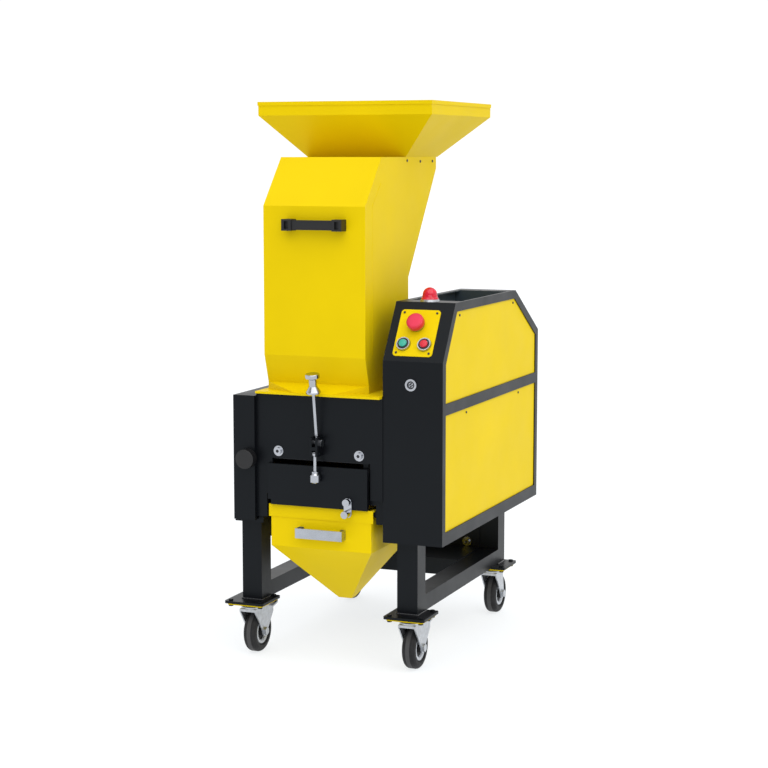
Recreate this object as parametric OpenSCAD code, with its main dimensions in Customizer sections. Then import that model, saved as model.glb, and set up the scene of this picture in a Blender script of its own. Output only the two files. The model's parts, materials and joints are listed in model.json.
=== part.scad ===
// Slow-speed plastic granulator on casters: a tilting feed hopper over a cutting chamber,
// a slide-out granule bin under the chamber and a drive cabinet on its right.
// Millimetres, +Z up, front towards -Y. Each module draws with X from the frame's centre
// line and Y from the cabinet's front face. placed() then moves it so that the origin
// lies on the floor, under the middle of the machine's outline.

/* [Frame] */
// Distance between the centres of the left and right legs
leg_track = 393; // [380:1:410]
// Distance from the cabinet's front face to the front legs' centres
leg_front_y = 66; // [60:1:80]
// Distance between the centres of the front and rear legs
leg_base = 574; // [560:1:590]
// Outer size of the square leg and rail tube
tube_w = 50; // [40:1:55]
// Wall of the tubes
tube_wall = 3; // [2:0.5:5]
// Height of the lower rails
rail_h = 38; // [36:1:50]
// Height of the rear legs' lower cross rail, which clears the casters' bolts
rear_rail_h = 34; // [25:1:34]
// Height of the upper rails
upper_rail_h = 50; // [40:1:60]
// Distance from the cabinet's front face to the middle cross rail
cross_rail_y = 450; // [420:1:470]
// Side of the square foot plates
foot_w = 100; // [90:1:110]
// Thickness of the foot plates
foot_t = 6; // [4:0.5:8]
// How far the foot plates stand forward of the legs' centres
foot_forward = 14; // [8:1:16]
// How far the foot plates stand outward of the legs' centres
foot_outward = 5; // [2:1:6]
// Thickness of the rear shelf and panel
shelf_t = 3; // [2:0.5:4]
// Height of the rear panel's bolt above the shelf
panel_bolt_h = 13; // [13:1:40]
// Distance from the frame's centre line to the rear panel's bolt
panel_bolt_x = 138; // [100:1:150]

/* [Casters] */
// Wheel diameter
wheel_d = 100; // [90:1:105]
// Wheel width
wheel_w = 32; // [26:1:34]
// Radius of the tyre's round shoulders
shoulder_r = 10; // [4:1:12]
// Radius where the tyre meets the wheel's core
core_r = 35; // [30:0.5:38]
// Radius of the wheel's middle boss
boss_r = 12; // [10:0.5:14]
// Distance from the swivel axis back to the wheel's axle
caster_trail = 25; // [20:1:30]
// Gap between the wheel's top and the fork's crown
crown_gap = 6; // [5:0.5:8]
// Thickness of the fork's crown
crown_t = 6; // [4:0.5:8]
// Thickness of the fork's cheeks
cheek_t = 3; // [2:0.5:4]
// Half length of the fork's crown
crown_reach = 28; // [26:1:30]
// Radius of the swivel head
swivel_r = 27; // [22:1:30]
// Height of the swivel head
swivel_h = 12; // [8:1:14]
// Side of the caster's mounting plate
caster_plate_w = 90; // [80:1:96]
// Thickness of the caster's mounting plate
caster_plate_t = 4; // [3:0.5:5]
// Radius of the wheel's axle bolt
axle_r = 5; // [4:0.5:6]
// Radius of the bolts that hold the casters
caster_bolt_r = 3.5; // [3:0.5:3.5]
// Distance between two bolts of one caster
caster_bolt_pitch = 76; // [76:0.5:77]
// How far the brake pedal rises towards its end, in degrees
pedal_rise = 12; // [4:1:14]
// Distance from the swivel axis back to the brake pedal's pivot
pedal_y = 63; // [62:1:66]
// How far the brake pedal's pivot lies below the fork's top
pedal_drop = 17; // [14:1:18]
// Length of the brake pedal behind its pivot
pedal_l = 54; // [50:1:60]
// Thickness of the brake pedal
pedal_t = 4; // [3:0.5:5]

/* [Cabinet] */
// Distance from the frame's centre line to the cabinet's left side
cabinet_x = 153; // [148:1:158]
// Cabinet width
cabinet_w = 143; // [135:1:155]
// Cabinet depth
cabinet_d = 699; // [690:1:720]
// Height of the cabinet's underside above the floor
cabinet_z = 306; // [296:1:316]
// Height of the upright part of the cabinet's front
front_h = 414; // [400:1:430]
// How far back the sloped control face runs
slope_run = 81; // [75:1:90]
// How high the sloped control face rises
slope_rise = 127; // [120:1:135]
// How far forward of the rear the top's rear bevel starts
bevel_run = 187; // [170:1:200]
// How far the top's rear bevel drops
bevel_drop = 112; // [100:1:120]
// Thickness of the cabinet's folded sheets
sheet_t = 2.5; // [2:0.5:3]
// Thickness of the cabinet's side plates, side frame and side panels
side_t = 3; // [2:0.5:4]
// Width of the side frame's border
border = 20; // [18:1:24]
// Width of the side frame's lower border
border_low = 29; // [26:1:34]
// Distance from the underside up to the side frame's middle band
band_up = 294; // [280:1:305]
// Height of the side frame's middle band
band_h = 26; // [22:1:30]
// How far the side panels reach behind the side frame
panel_lap = 8; // [6:1:8]
// Distance between the two screws of one side panel
panel_screw_pitch = 384; // [360:1:390]
// Depth of the ledge in front of the recessed top
ledge = 54; // [52:1:60]
// Depth of the recessed top below the rim
recess_h = 57; // [40:1:70]
// Length of the recessed top
recess_l = 328; // [300:1:335]
// Width of the rim along the recess's left side
rim_w = 16; // [10:1:20]
// Radius of the power cable's hole in the back
cable_hole_r = 10.2; // [8:0.1:12]
// Height of the power cable's hole above the underside
cable_hole_up = 54; // [40:1:80]

/* [Controls] */
// Width of the control plate
plate_w = 94; // [90:1:100]
// Length of the control plate along the slope
plate_l = 117; // [112:1:120]
// Corner radius of the control plate
plate_r = 8; // [6:1:10]
// Thickness of the control plate
plate_t = 1.5; // [1:0.5:2]
// Distance from the cabinet's left side to the control plate's centre
plate_x = 66.5; // [64:0.5:70]
// Distance from the lower fold up the slope to the control plate's lower edge
plate_up = 13; // [10:1:16]
// Radius of the screws of the control plate and the side panels
small_screw_r = 2.6; // [2:0.1:4.5]
// Radius of the round holes that the buttons sit in
button_hole_r = 11.2; // [11:0.1:11.5]
// Distance between the green and the red button
button_pitch = 50; // [46:1:54]
// Distance up the plate to the green and red buttons
button_up = 29; // [26:1:32]
// Distance up the plate to the stop button
estop_up = 78; // [70:1:78]
// How far the stop button sits left of the plate's centre
estop_left = 2; // [0:0.5:12]
// Diameter of the stop button's head
estop_d = 40; // [36:1:42]
// Height of the stop button's head
estop_h = 13; // [10:1:16]
// Radius of the stop button's round edge
estop_edge = 4; // [2:0.5:6]
// Diameter of the button bezels
bezel_d = 34; // [26:1:35]
// Diameter of the button caps
cap_d = 18; // [16:0.5:19]
// Height of the button caps above their bezels
cap_h = 3.5; // [3.3:0.1:5]
// Radius of the button caps' round edges
cap_edge = 1.2; // [0.5:0.1:2]
// Height of the bezels
bezel_h = 6; // [4:0.5:8]
// Depth of the buttons' barrels behind the control face
barrel_depth = 15; // [12:1:20]
// Travel of the green and red buttons
button_travel = 3; // [2:0.5:4]
// Travel of the stop button
estop_travel = 4; // [3:0.5:5]
// Diameter of the beacon's base
beacon_d = 44; // [40:1:48]
// Height of the beacon's base
beacon_base_h = 5; // [4:0.5:7]
// Radius of the beacon's lens
beacon_lens_r = 16.5; // [15:0.5:18]
// Height of the beacon's lens above its base
beacon_lens_h = 27; // [25:1:30]
// Diameter of the cam lock's head
lock_d = 27; // [24:1:30]
// Distance from the cabinet's left side to the cam lock
lock_x = 68; // [60:1:75]
// Height of the cam lock above the cabinet's underside
lock_up = 362; // [350:1:375]

/* [Chamber] */
// Width of the chamber's front plate
chamber_w = 314; // [308:1:320]
// Height of the chamber's top above the cabinet's underside
chamber_up = 327; // [320:1:335]
// How far the front plate stands forward of the cabinet's front face
front_plate_forward = 2; // [1:0.5:4]
// Thickness of the chamber's plates
front_plate_t = 8; // [6:0.5:9]
// Thickness of the cutting chamber's walls
wall_t = 12; // [10:1:14]
// Inner depth of the cutting chamber
cavity_d = 277; // [270:1:285]
// Height of the left wall's foot above the cabinet's underside
foot_up = 22; // [18:1:26]
// Thickness of the walls' feet
wall_foot_t = 8; // [6:1:10]
// Distance from the chamber's top down to the opening in the front plate
opening_down = 149; // [144:1:154]
// Width of the front plate's left leg at the opening
leg_left_w = 40; // [38:1:42]
// Width of the front plate's left leg beside the bin
leg_low_w = 26; // [24:1:27]
// Width of the front plate's right leg
leg_right_w = 30; // [28:1:33]
// Distance from the chamber's top down to the right leg's end
leg_right_down = 233; // [228:1:236]
// Distance from the chamber's top down to the left leg's end
leg_left_down = 288; // [280:1:292]
// Width of the right bracket's leg
bracket_w = 19; // [17:0.5:19.5]
// Thickness of the right bracket's shelf
bracket_t = 12; // [8:1:11.5]
// Distance from the chamber's top down to the front plate's bolts
bolt_down = 132; // [128:1:136]
// Distance between the front plate's two bolts
bolt_pitch = 201; // [195:1:205]
// Washer diameter of the front plate's bolts
washer_d = 24; // [20:1:26]
// Height of the screen door
door_h = 95; // [90:1:98]
// Width of the screen door
door_w = 248; // [240:1:250]
// Thickness of the screen door
door_t = 8.7; // [6:0.1:9]
// Travel of the screen door when it is lifted off
door_lift = 10; // [6:1:10.5]

/* [Rotor] */
// Distance from the chamber's top down to the rotor's axis
rotor_down = 108; // [104:1:110]
// Radius of the circle that the rotor's knives sweep
rotor_r = 82; // [76:1:84]
// Radius of the rotor's body
rotor_body_r = 45; // [40:1:50]
// Radius of the rotor's shaft
shaft_r = 17.5; // [15:0.5:20]
// Number of knives on the rotor
rotor_knives_n = 3; // [2:1:5]
// Thickness of the knives
knife_t = 10; // [8:1:12]
// Gap between the rotor's and the fixed knives
knife_gap = 1; // [0.5:0.1:2]
// Height of the beds that carry the fixed knives
bed_h = 30; // [26:1:33]
// Depth of the beds that carry the fixed knives
bed_d = 50; // [44:1:52]
// Gap between the rotor's knives and the screen
screen_gap = 5; // [4:0.5:8]
// Thickness of the screen
screen_t = 3; // [2:0.5:4]
// Diameter of the screen's holes
screen_hole_d = 14; // [8:1:16]
// Number of holes across the screen
screen_columns = 7; // [3:1:8]
// Number of rows of holes round the screen
screen_rows = 5; // [3:1:5]
// Side of the square bearing flanges
bearing_w = 92; // [80:1:100]
// Thickness of the bearing flanges
bearing_t = 12; // [10:1:14]
// Radius of the bearing bosses
bearing_boss_r = 32; // [28:1:36]
// Width of the whole bearing
bearing_len = 26; // [20:1:30]

/* [Drive] */
// Size of the gearbox along X, Y and Z
gearbox_size = [92, 150, 170];
// Radius of the motor
motor_r = 55; // [50:1:58]
// Length of the motor
motor_l = 250; // [220:1:280]
// Number of cooling fins on the motor
fins = 16; // [8:2:24]
// How far the fins stand out
fin_h = 5; // [3:1:6]
// Length of the motor's fan cover
fan_cover_l = 62; // [50:1:80]
// Number of blades on the motor's fan
fan_blades = 7; // [4:1:12]
// Radius of the motor's shaft
motor_shaft_r = 7; // [6:0.5:10]
// Radius of the air holes in the fan cover
air_hole_r = 6; // [4:0.5:8]
// Number of air holes in the fan cover
air_holes = 12; // [6:1:14]

/* [Hopper] */
// Width of the hopper tower
tower_w = 252; // [244:1:256]
// Distance from the chamber's left edge to the tower
tower_left = 12; // [12:1:20]
// Thickness of the tower's and tray's sheet
tower_t = 3; // [2:0.5:4]
// Height of the tower above the flange
tower_h = 533; // [510:1:550]
// Distance from the cabinet's front face to the tower's front
tower_front = 18; // [14:1:24]
// How far the tower's foot sits back from its front
foot_back = 21; // [16:1:26]
// Height of the upright part of the tower's foot
toe_h = 17; // [14:1:24]
// Height of the slanted lower front
lower_slant_h = 65; // [55:1:75]
// How far back the upper front leans
upper_run = 97; // [85:1:110]
// Height of the leaning upper front
upper_rise = 110; // [100:1:120]
// Depth of the tower at its foot
tower_foot_d = 244; // [236:1:250]
// Height of the upright part of the tower's back
back_h = 250; // [230:1:270]
// Distance from the tower's foot back to the top of its back
back_run = 185; // [170:1:200]
// Height of the upright top of the tower's back
back_top_h = 28; // [20:1:34]
// Thickness of the hopper's flange
flange_t = 5; // [4:0.5:6]
// How far the flange stands forward of the front plate
flange_forward = 12; // [8:0.5:12]
// Gap between the flange and the cabinet
flange_gap = 3; // [2:0.5:5]
// How far the flange's wedge reaches forward of the tower's foot
wedge_run = 47; // [40:1:50]
// Width of the wedge's front edge
wedge_w = 90; // [80:1:110]
// How far the wedge's front edge sits right of the tower's centre
wedge_shift = 9; // [0:1:14]
// Radius of the hopper hinge's knuckles
knuckle_r = 8; // [7:0.5:9]
// Radius of the hopper hinge's pin
hinge_pin_r = 4; // [3:0.5:5]
// Number of knuckles on the hopper hinge
knuckles = 5; // [3:2:7]
// Thickness of the hinge's leaves
leaf_t = 3; // [2:0.5:4]
// Height of the hinge's fixed leaf
leaf_h = 40; // [30:1:50]

/* [Feed tray] */
// Width of the feed tray's rim
tray_w = 438; // [420:1:450]
// Depth of the feed tray's rim
tray_d = 411; // [400:1:430]
// Height of the feed tray's sloping walls
tray_slope_h = 97; // [90:1:110]
// Height of the feed tray's upright rim
tray_rim_h = 32; // [26:1:38]
// Height of the folded hem round the rim's top
hem_h = 9; // [6:1:12]
// Thickness of the hem
hem_t = 1.5; // [1:0.5:2]
// How far the tray's neck sits back from the front of the tower's top
neck_back = 150; // [130:1:165]
// Depth of the tray's neck
neck_d = 212; // [190:1:220]
// How far the tray's centre sits right of the tower's
tray_shift = 6; // [0:0.5:10]
// How far the rim's front sits in front of the neck
rim_forward = 90; // [80:1:105]
// Length of the tray's skirt inside the tower
skirt_h = 22; // [18:1:24]

/* [Handles] */
// Distance between the tower handle's ends
handle_pitch = 124; // [110:1:130]
// Size of the tower handle's end blocks along X, Y and Z
handle_block = [24, 28, 26];
// Height of the tower handle's grip
grip_h = 22; // [16:1:26]
// Thickness of the tower handle's grip
grip_t = 9; // [8:1:12]
// Height of the tower handle above the flange
handle_up = 381; // [360:1:400]
// How far the tower handle sits right of the tower's centre
handle_shift = 6; // [0:1:16]
// Width of the bin handle
bin_handle_w = 116; // [100:1:120]
// Height of the bin handle's strap
bin_handle_h = 23; // [18:1:26]
// How far the bin handle stands out
bin_handle_out = 24; // [22:1:30]
// Thickness of the bin handle's strap
strap_t = 2.5; // [2:0.5:3]
// Length of the bin handle's feet
strap_foot = 12; // [10:1:14]
// How far the bin handle sits right of the bin's centre
bin_handle_shift = 4; // [0:1:14]
// Distance from the bin's top down to the handle's centre
bin_handle_down = 60; // [56:1:66]

/* [Clamp bolts] */
// Distance from the frame's centre line to the clamp bolts
clamp_x = -3; // [-8:1:2]
// Width of the clevis block
clevis_w = 20; // [18:1:24]
// How far the clevis block stands out
clevis_out = 32; // [30:1:36]
// Height of the clevis block
clevis_h = 44; // [42:1:48]
// Distance from the chamber's top down to the clevis block's top
clevis_down = 92; // [88:1:100]
// Radius of the clamp bolts' rods
rod_r = 4; // [3:0.5:4]
// Radius of the rods' eyes
eye_r = 7; // [6:0.5:7]
// Radius of the clevis pins
pin_r = 3; // [2.5:0.5:3.5]
// How far the swing bolt leans forward, in degrees
swing_lean = 8.5; // [8.5:0.5:12]
// Distance from the swing bolt's pin to the underside of its nut
nut_up = 117; // [116:1:120]
// Radius of the spool nut's foot
nut_r = 17; // [13:0.5:17]
// Radius of the spool nut's neck
nut_neck_r = 9.2; // [7:0.2:10]
// Radius of the spool nut's head
nut_head_r = 16.5; // [12:0.5:17]
// Height of the spool nut
nut_h = 45; // [42:1:50]
// Distance from the lower bolt's pin down to its knob
knob_down = 41; // [36:1:44]
// Radius of the lower bolt's knob
clamp_knob_r = 12; // [10:0.5:12.5]
// Height of the lower bolt's knob
clamp_knob_h = 26; // [22:1:28]

/* [Granule bin] */
// Width of the bin's body
bin_w = 250; // [244:1:251]
// Depth of the bin's body
bin_d = 270; // [250:1:275]
// Height of the bin's upright walls
bin_wall_h = 98; // [92:1:105]
// Height of the bin's tapering bottom
bin_taper_h = 145; // [130:1:155]
// Thickness of the bin's sheet
bin_t = 2; // [1.5:0.5:3]
// Distance from the cabinet's underside up to the bin's rim
bin_up = 70; // [68:1:70]
// Height of the lip on the bin's front
lip_h = 29; // [26:1:34]
// How far the bin's rim and lip stand out at the sides
rim_out = 5; // [4:0.5:6]
// Thickness of the bin's rim
rim_t = 3; // [2:0.5:4]
// Width of the bin's bottom
bin_floor_w = 33; // [28:1:40]
// Depth of the bin's bottom
bin_floor_d = 25; // [20:1:30]
// Distance from the bin's front to the front of its bottom
bin_floor_y = 140; // [130:1:150]
// Distance from the frame's centre line to the bin's catch
catch_x = 72.5; // [70:0.5:84]
// Distance from the bin's rim down to the catch's pivot
catch_down = 7; // [6:0.5:9]
// Distance from the catch's pivot up to its stud
catch_up = 26; // [22:1:28]
// Radius of the catch's stud
catch_stud_r = 9.5; // [8:0.5:10]
// Radius of the catch's knob
catch_knob_r = 8.2; // [7:0.2:9]

/* [Side cover] */
// Width of the side cover
cover_w = 54; // [50:1:58]
// How far the side cover stands forward of the front plate
cover_forward = 11; // [8:1:14]
// Height of the side cover
cover_h = 291; // [286:1:296]
// Thickness of the side cover's sheet
cover_t = 2; // [1.5:0.5:3]
// Radius of the side knob
side_knob_r = 22.5; // [18:0.5:22.5]
// Thickness of the side knob
side_knob_t = 20; // [16:1:24]
// Distance from the side cover's right edge to the side knob
side_knob_x = 17; // [14:1:24]
// Height of the side knob above the side cover's bottom
side_knob_up = 145; // [135:1:155]

/* [Hidden] */
$fn = 48;

// Overrun of a cut past the face that it opens
cut = 1;
// Running clearance of a pin or shaft in its bore
run = 0.05;
// Clearance between faces that slide past each other
slack = 0.3;

// How far out of the clevis block the swing bolt's pin sits
pin_out_share = 0.375;
// Heights of the spool nut's flare and of its head's underside
nut_flare_share = 0.36;
nut_head_share = 0.8;
// Width of the wells in the tower handle's ends
well_share = 0.45;
// Where the thick part of the hinge's pin starts in a knuckle
journal_share = 0.3;
// How much of the screen's arc the holes take up
hole_arc_share = 0.75;

// Colours
yellow = "gold";
black = "#24262b";
zinc = "#b9bdc4";
chrome = "#d5d8dd";
steel = "#8d9299";
rubber = "#1b1b1d";

// Heights that follow from the sizes above
wheel_r = wheel_d / 2;
fork_top = wheel_d + crown_gap + crown_t;
caster_top = fork_top + swivel_h;
foot_z = caster_top + caster_plate_t;
leg_z = foot_z + foot_t;
rail_top = leg_z + rail_h;
cabinet_top = cabinet_z + front_h + slope_rise;
fold_z = cabinet_z + front_h;
chamber_top = cabinet_z + chamber_up;
left_leg_top = cabinet_z + foot_up;
left_foot_top = left_leg_top + wall_foot_t;
flange_top = chamber_top + flange_t;
tower_top = flange_top + tower_h;
rotor_z = chamber_top - rotor_down;
pedal_z = fork_top - pedal_drop;
bin_top = cabinet_z + bin_up;
door_z = bin_top + cut;

// Places along X
leg_x = leg_track / 2;
inner_x = leg_x - tube_w / 2;
caster_x = leg_x + foot_outward;
cabinet_right = cabinet_x + cabinet_w;
chamber_x = cabinet_x - chamber_w;
tower_x = chamber_x + tower_left;
tower_right = tower_x + tower_w;
tower_mid = tower_x + tower_w / 2;
left_wall_x = tower_x - wall_t;
cover_x = chamber_x - cover_w;
bin_x = (chamber_x + leg_low_w + cabinet_x - bracket_w) / 2 - bin_w / 2;
door_x = chamber_x + leg_left_w - panel_lap;

// Places along Y
leg_rear_y = leg_front_y + leg_base;
panel_y = leg_rear_y - tube_w / 2 - shelf_t;
plate_front_y = -front_plate_forward;
plate_back_y = plate_front_y + front_plate_t;
cavity_back_y = plate_back_y + cavity_d;
chamber_back_y = cavity_back_y + wall_t;
rotor_y = (plate_back_y + cavity_back_y) / 2;
tower_foot_y = tower_front + foot_back;
tower_back_y = tower_foot_y + tower_foot_d;
top_front_y = tower_front + upper_run;
top_back_y = tower_back_y + back_run;
neck_y = top_front_y + neck_back;
flange_y = plate_front_y - flange_forward;
knuckle_y = chamber_back_y + knuckle_r;
knuckle_z = flange_top + leaf_t - knuckle_r;
door_y = plate_front_y - slack - door_t;

// The clamp bolts' pins
swing_pin_y = plate_front_y - clevis_out * pin_out_share;
swing_pin_z = chamber_top - clevis_down - 2 * eye_r;
clamp_pin_y = door_y - clamp_knob_r - 5 * slack;
clamp_pin_z = chamber_top - clevis_down - clevis_h + eye_r - slack;
nut_front = nut_head_r * cos(swing_lean) + (nut_up + nut_h) * sin(swing_lean) - swing_pin_y;

// The outline of the whole machine, which places the origin
outline_left = caster_x + foot_w / 2;
machine_x = (outline_left - cabinet_right) / 2;
machine_y = (nut_front - cabinet_d) / 2;

// The sloped control face
slope_angle = atan2(slope_rise, slope_run);
plate_centre_x = cabinet_x + plate_x;

// The cabinet's outline, seen from the right, as points of Y and Z
shelf_y = slope_run + ledge;
tray_back_y = shelf_y + recess_l;
tray_z = cabinet_top - recess_h;
cabinet_outline = [
  [0, cabinet_z], [0, fold_z], [slope_run, cabinet_top],
  [cabinet_d - bevel_run, cabinet_top], [cabinet_d, cabinet_top - bevel_drop],
  [cabinet_d, cabinet_z]
];

// The tower's outline, seen from the right, as points of Y and Z
tower_outline = [
  [tower_foot_y, flange_top], [tower_foot_y, flange_top + toe_h],
  [tower_front, flange_top + toe_h + lower_slant_h], [tower_front, tower_top - upper_rise],
  [top_front_y, tower_top], [top_back_y, tower_top], [top_back_y, tower_top - back_top_h],
  [tower_back_y, flange_top + back_h], [tower_back_y, flange_top]
];

// Unit vector along v
function unit(v) = v / norm(v);
// Normal on the right-hand side of the way from a to b
function right_of(a, b) = unit([b[1] - a[1], a[0] - b[0]]);
// Corner b moved by t to the right of the way a, b, c
function mitre(a, b, c, t) =
  let (n1 = right_of(a, b), n2 = right_of(b, c), m = unit(n1 + n2)) b + m * t / (m * n2);
// An open path moved by t to its right
function beside(path, t) = let (n = len(path) - 1) [
  path[0] + right_of(path[0], path[1]) * t,
  for (i = [1 : 1 : n - 1]) mitre(path[i - 1], path[i], path[i + 1], t),
  path[n] + right_of(path[n - 1], path[n]) * t
];
// A closed outline moved by t to its right
function inset(outline, t) = let (n = len(outline)) [
  for (i = [0 : n - 1]) mitre(outline[(i + n - 1) % n], outline[i], outline[(i + 1) % n], t)
];
function reversed(list) = [for (i = [len(list) - 1 : -1 : 0]) list[i]];
function slice(list, first, last) = [for (i = [first : last]) list[i]];

module placed() {
  translate([machine_x, machine_y, 0])
    children();
}

// A box from one corner to the opposite one
module box(low, high) {
  translate(low)
    cube(high - low);
}

// An outline of Y and Z drawn out along X
module along_x(x, length) {
  translate([x, 0, 0])
    rotate([90, 0, 90])
      linear_extrude(length)
        children();
}

// An outline of X and Z drawn out along Y
module along_y(y, length) {
  translate([0, y + length, 0])
    rotate([90, 0, 0])
      linear_extrude(length)
        children();
}

// A cylinder along X from x0 to x1
module bar_x(x0, x1, r) {
  translate([x0, 0, 0])
    rotate([0, 90, 0])
      cylinder(h = x1 - x0, r = r);
}

// A cylinder along Y from y0 to y1
module bar_y(y0, y1, r) {
  translate([0, y0, 0])
    rotate([-90, 0, 0])
      cylinder(h = y1 - y0, r = r);
}

// A sheet of thickness t on the right of a path
module sheet(path, t) {
  polygon(concat(path, reversed(beside(path, t))));
}

// A rectangle with round corners, centred
module round_rect(w, l, r) {
  square([w - 2 * r, l], center = true);
  square([w, l - 2 * r], center = true);
  for (sx = [-1, 1], sy = [-1, 1])
    translate([sx * (w / 2 - r), sy * (l / 2 - r)])
      circle(r);
}

// A box section tube between two corners, hollow along one axis (0 for X, 1 for Y, 2 for Z)
module tube(low, high, axis) {
  inner = [for (i = [0 : 2]) i == axis ? -cut : tube_wall];
  difference() {
    box(low, high);
    box(low + inner, high - inner);
  }
}

// Children at the place x, and s up the slope, with +Z out of the control face
module on_slope(x, s) {
  translate([x, s * cos(slope_angle), fold_z + s * sin(slope_angle)])
    rotate([slope_angle, 0, 0])
      children();
}

// Children at the lower bolt's pin
module at_clamp_pin() {
  translate([clamp_x, clamp_pin_y, clamp_pin_z])
    children();
}

// Children with +Z up the swing bolt's rod, from its pin
module on_swing_rod() {
  translate([clamp_x, swing_pin_y, swing_pin_z])
    rotate([swing_lean, 0, 0])
      children();
}

// Children at each of the three holes in the control face
module at_buttons() {
  low = plate_up + button_up;
  on_slope(plate_centre_x - button_pitch / 2, low)
    children();
  on_slope(plate_centre_x + button_pitch / 2, low)
    children();
  at_estop()
    children();
}

module at_estop() {
  on_slope(plate_centre_x - estop_left, plate_up + estop_up)
    children();
}

// Children once for each leg, with its side (-1 left, 1 right) and its centre's distance
module at_legs() {
  for ($side = [-1, 1], $y = [leg_front_y, leg_rear_y])
    children();
}

// Each leg is a tube welded on its foot plate; the left ones reach up to the chamber
module frame_legs() {
  color(black) placed()
    at_legs() {
      top = $side < 0 ? left_leg_top : cabinet_z;
      x = $side * leg_x;
      tube([x - tube_w / 2, $y - tube_w / 2, leg_z], [x + tube_w / 2, $y + tube_w / 2, top], 2);
      at_caster($side, $y)
        translate([0, 0, foot_z])
          bolted_plate(foot_w, foot_t);
    }
}

// A square plate with four holes for the caster's bolts
module bolted_plate(w, t) {
  linear_extrude(t)
    difference() {
      round_rect(w, w, boss_r / 2);
      at_caster_bolts()
        circle(caster_bolt_r + run);
    }
}

module at_caster_bolts() {
  for (bx = [-1, 1], by = [-1, 1])
    translate([bx * caster_bolt_pitch / 2, by * caster_bolt_pitch / 2, 0])
      children();
}

module caster_bolts() {
  head_r = caster_bolt_r * sqrt(3);
  color(zinc) placed()
    at_legs()
      at_caster($side, $y)
        at_caster_bolts() {
          translate([0, 0, caster_top])
            cylinder(h = leg_z - caster_top, r = caster_bolt_r);
          for (z = [caster_top - caster_bolt_r, leg_z])
            translate([0, 0, z])
              cylinder(h = caster_bolt_r, r = head_r, $fn = 6);
        }
}

module frame_rails() {
  y0 = leg_front_y + tube_w / 2;
  y1 = leg_rear_y - tube_w / 2;
  color(black) placed() {
    for (side = [-1, 1])
      tube([side * leg_x - tube_w / 2, y0, leg_z],
        [side * leg_x + tube_w / 2, y1, rail_top], 1);
    tube([-inner_x, cross_rail_y, leg_z], [inner_x, cross_rail_y + tube_w, rail_top], 0);
    tube([-inner_x, y1, rail_top - rear_rail_h], [inner_x, y1 + tube_w, rail_top], 0);
    tube([-leg_x - tube_w / 2, y0, left_leg_top - upper_rail_h],
      [-leg_x + tube_w / 2, y1, left_leg_top], 1);
    tube([-inner_x, y1, cabinet_z - upper_rail_h], [inner_x, y1 + tube_w, cabinet_z], 0);
  }
}

// One folded sheet: a shelf on the cross rail and a panel in front of the rear legs
module rear_shelf() {
  color(black) placed() {
    box([-inner_x, cross_rail_y, rail_top], [inner_x, panel_y, rail_top + shelf_t]);
    box([-inner_x, panel_y, rail_top], [inner_x, panel_y + shelf_t, cabinet_z]);
  }
}

module caster_plates() {
  color(yellow) placed()
    at_legs()
      at_caster($side, $y)
        translate([0, 0, caster_top])
          bolted_plate(caster_plate_w, caster_plate_t);
}

// A socket screw with its washer, head towards -Y, on a face at y = 0
module socket_bolt(shank) {
  head_r = washer_d / 3;
  difference() {
    union() {
      bar_y(-washer_d / 12, 0, washer_d / 2);
      bar_y(-washer_d / 3, 0, head_r);
      bar_y(-cut, shank, washer_d / 5);
    }
    translate([0, -washer_d / 3 - cut, 0])
      rotate([-90, 0, 0])
        cylinder(h = washer_d / 6 + cut, r = head_r / 2, $fn = 6);
  }
}

module at_front_bolts() {
  for (side = [-1, 1])
    translate([chamber_x + chamber_w / 2 + side * bolt_pitch / 2, 0, chamber_top - bolt_down])
      children();
}

module socket_bolts() {
  color(chrome) placed() {
    at_front_bolts()
      translate([0, plate_front_y, 0])
        socket_bolt(front_plate_t + bed_d / 2 - cut);
    translate([panel_bolt_x, panel_y, rail_top + shelf_t + panel_bolt_h])
      socket_bolt(0);
  }
}

// A hole round the rotor's shaft from x0 to x1
module shaft_hole(x0, x1, clearance) {
  translate([0, rotor_y, rotor_z])
    bar_x(x0 - cut, x1 + cut, shaft_r + clearance);
}

// The runner that the bin's rim slides on, from x0 to x1
module runner(x0, x1) {
  top = bin_top - rim_t - slack;
  box([x0, plate_back_y, top - wall_t], [x1, chamber_back_y, top]);
}

// The cutting chamber's welded box, with the left wall's foot, the right wall's bracket
// and the runners that the bin's rim slides on
module chamber_walls() {
  shelf_z = chamber_top - leg_right_down;
  bracket_x = cabinet_x - bracket_w;
  y0 = plate_back_y;
  y1 = chamber_back_y;
  color(black) placed() {
    difference() {
      union() {
        box([left_wall_x, y0, left_leg_top], [tower_x, y1, chamber_top]);
        box([-leg_x - tube_w / 2, y0, left_leg_top], [tower_x, y1, left_foot_top]);
        box([tower_right, y0, shelf_z - bracket_t], [tower_right + wall_t, y1, chamber_top]);
      }
      shaft_hole(left_wall_x, tower_x, 2 * cut);
      shaft_hole(tower_right, tower_right + wall_t, 2 * cut);
    }
    box([tower_x, cavity_back_y, shelf_z], [tower_right, y1, chamber_top]);
    box([tower_right, y0, shelf_z - bracket_t], [cabinet_x, y1, shelf_z]);
    box([bracket_x, y0, chamber_top - leg_left_down], [cabinet_x, y1, shelf_z - bracket_t]);
    runner(tower_x, bin_x - 2 * slack);
    runner(bin_x + bin_w + 2 * slack, bracket_x);
  }
}

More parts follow.
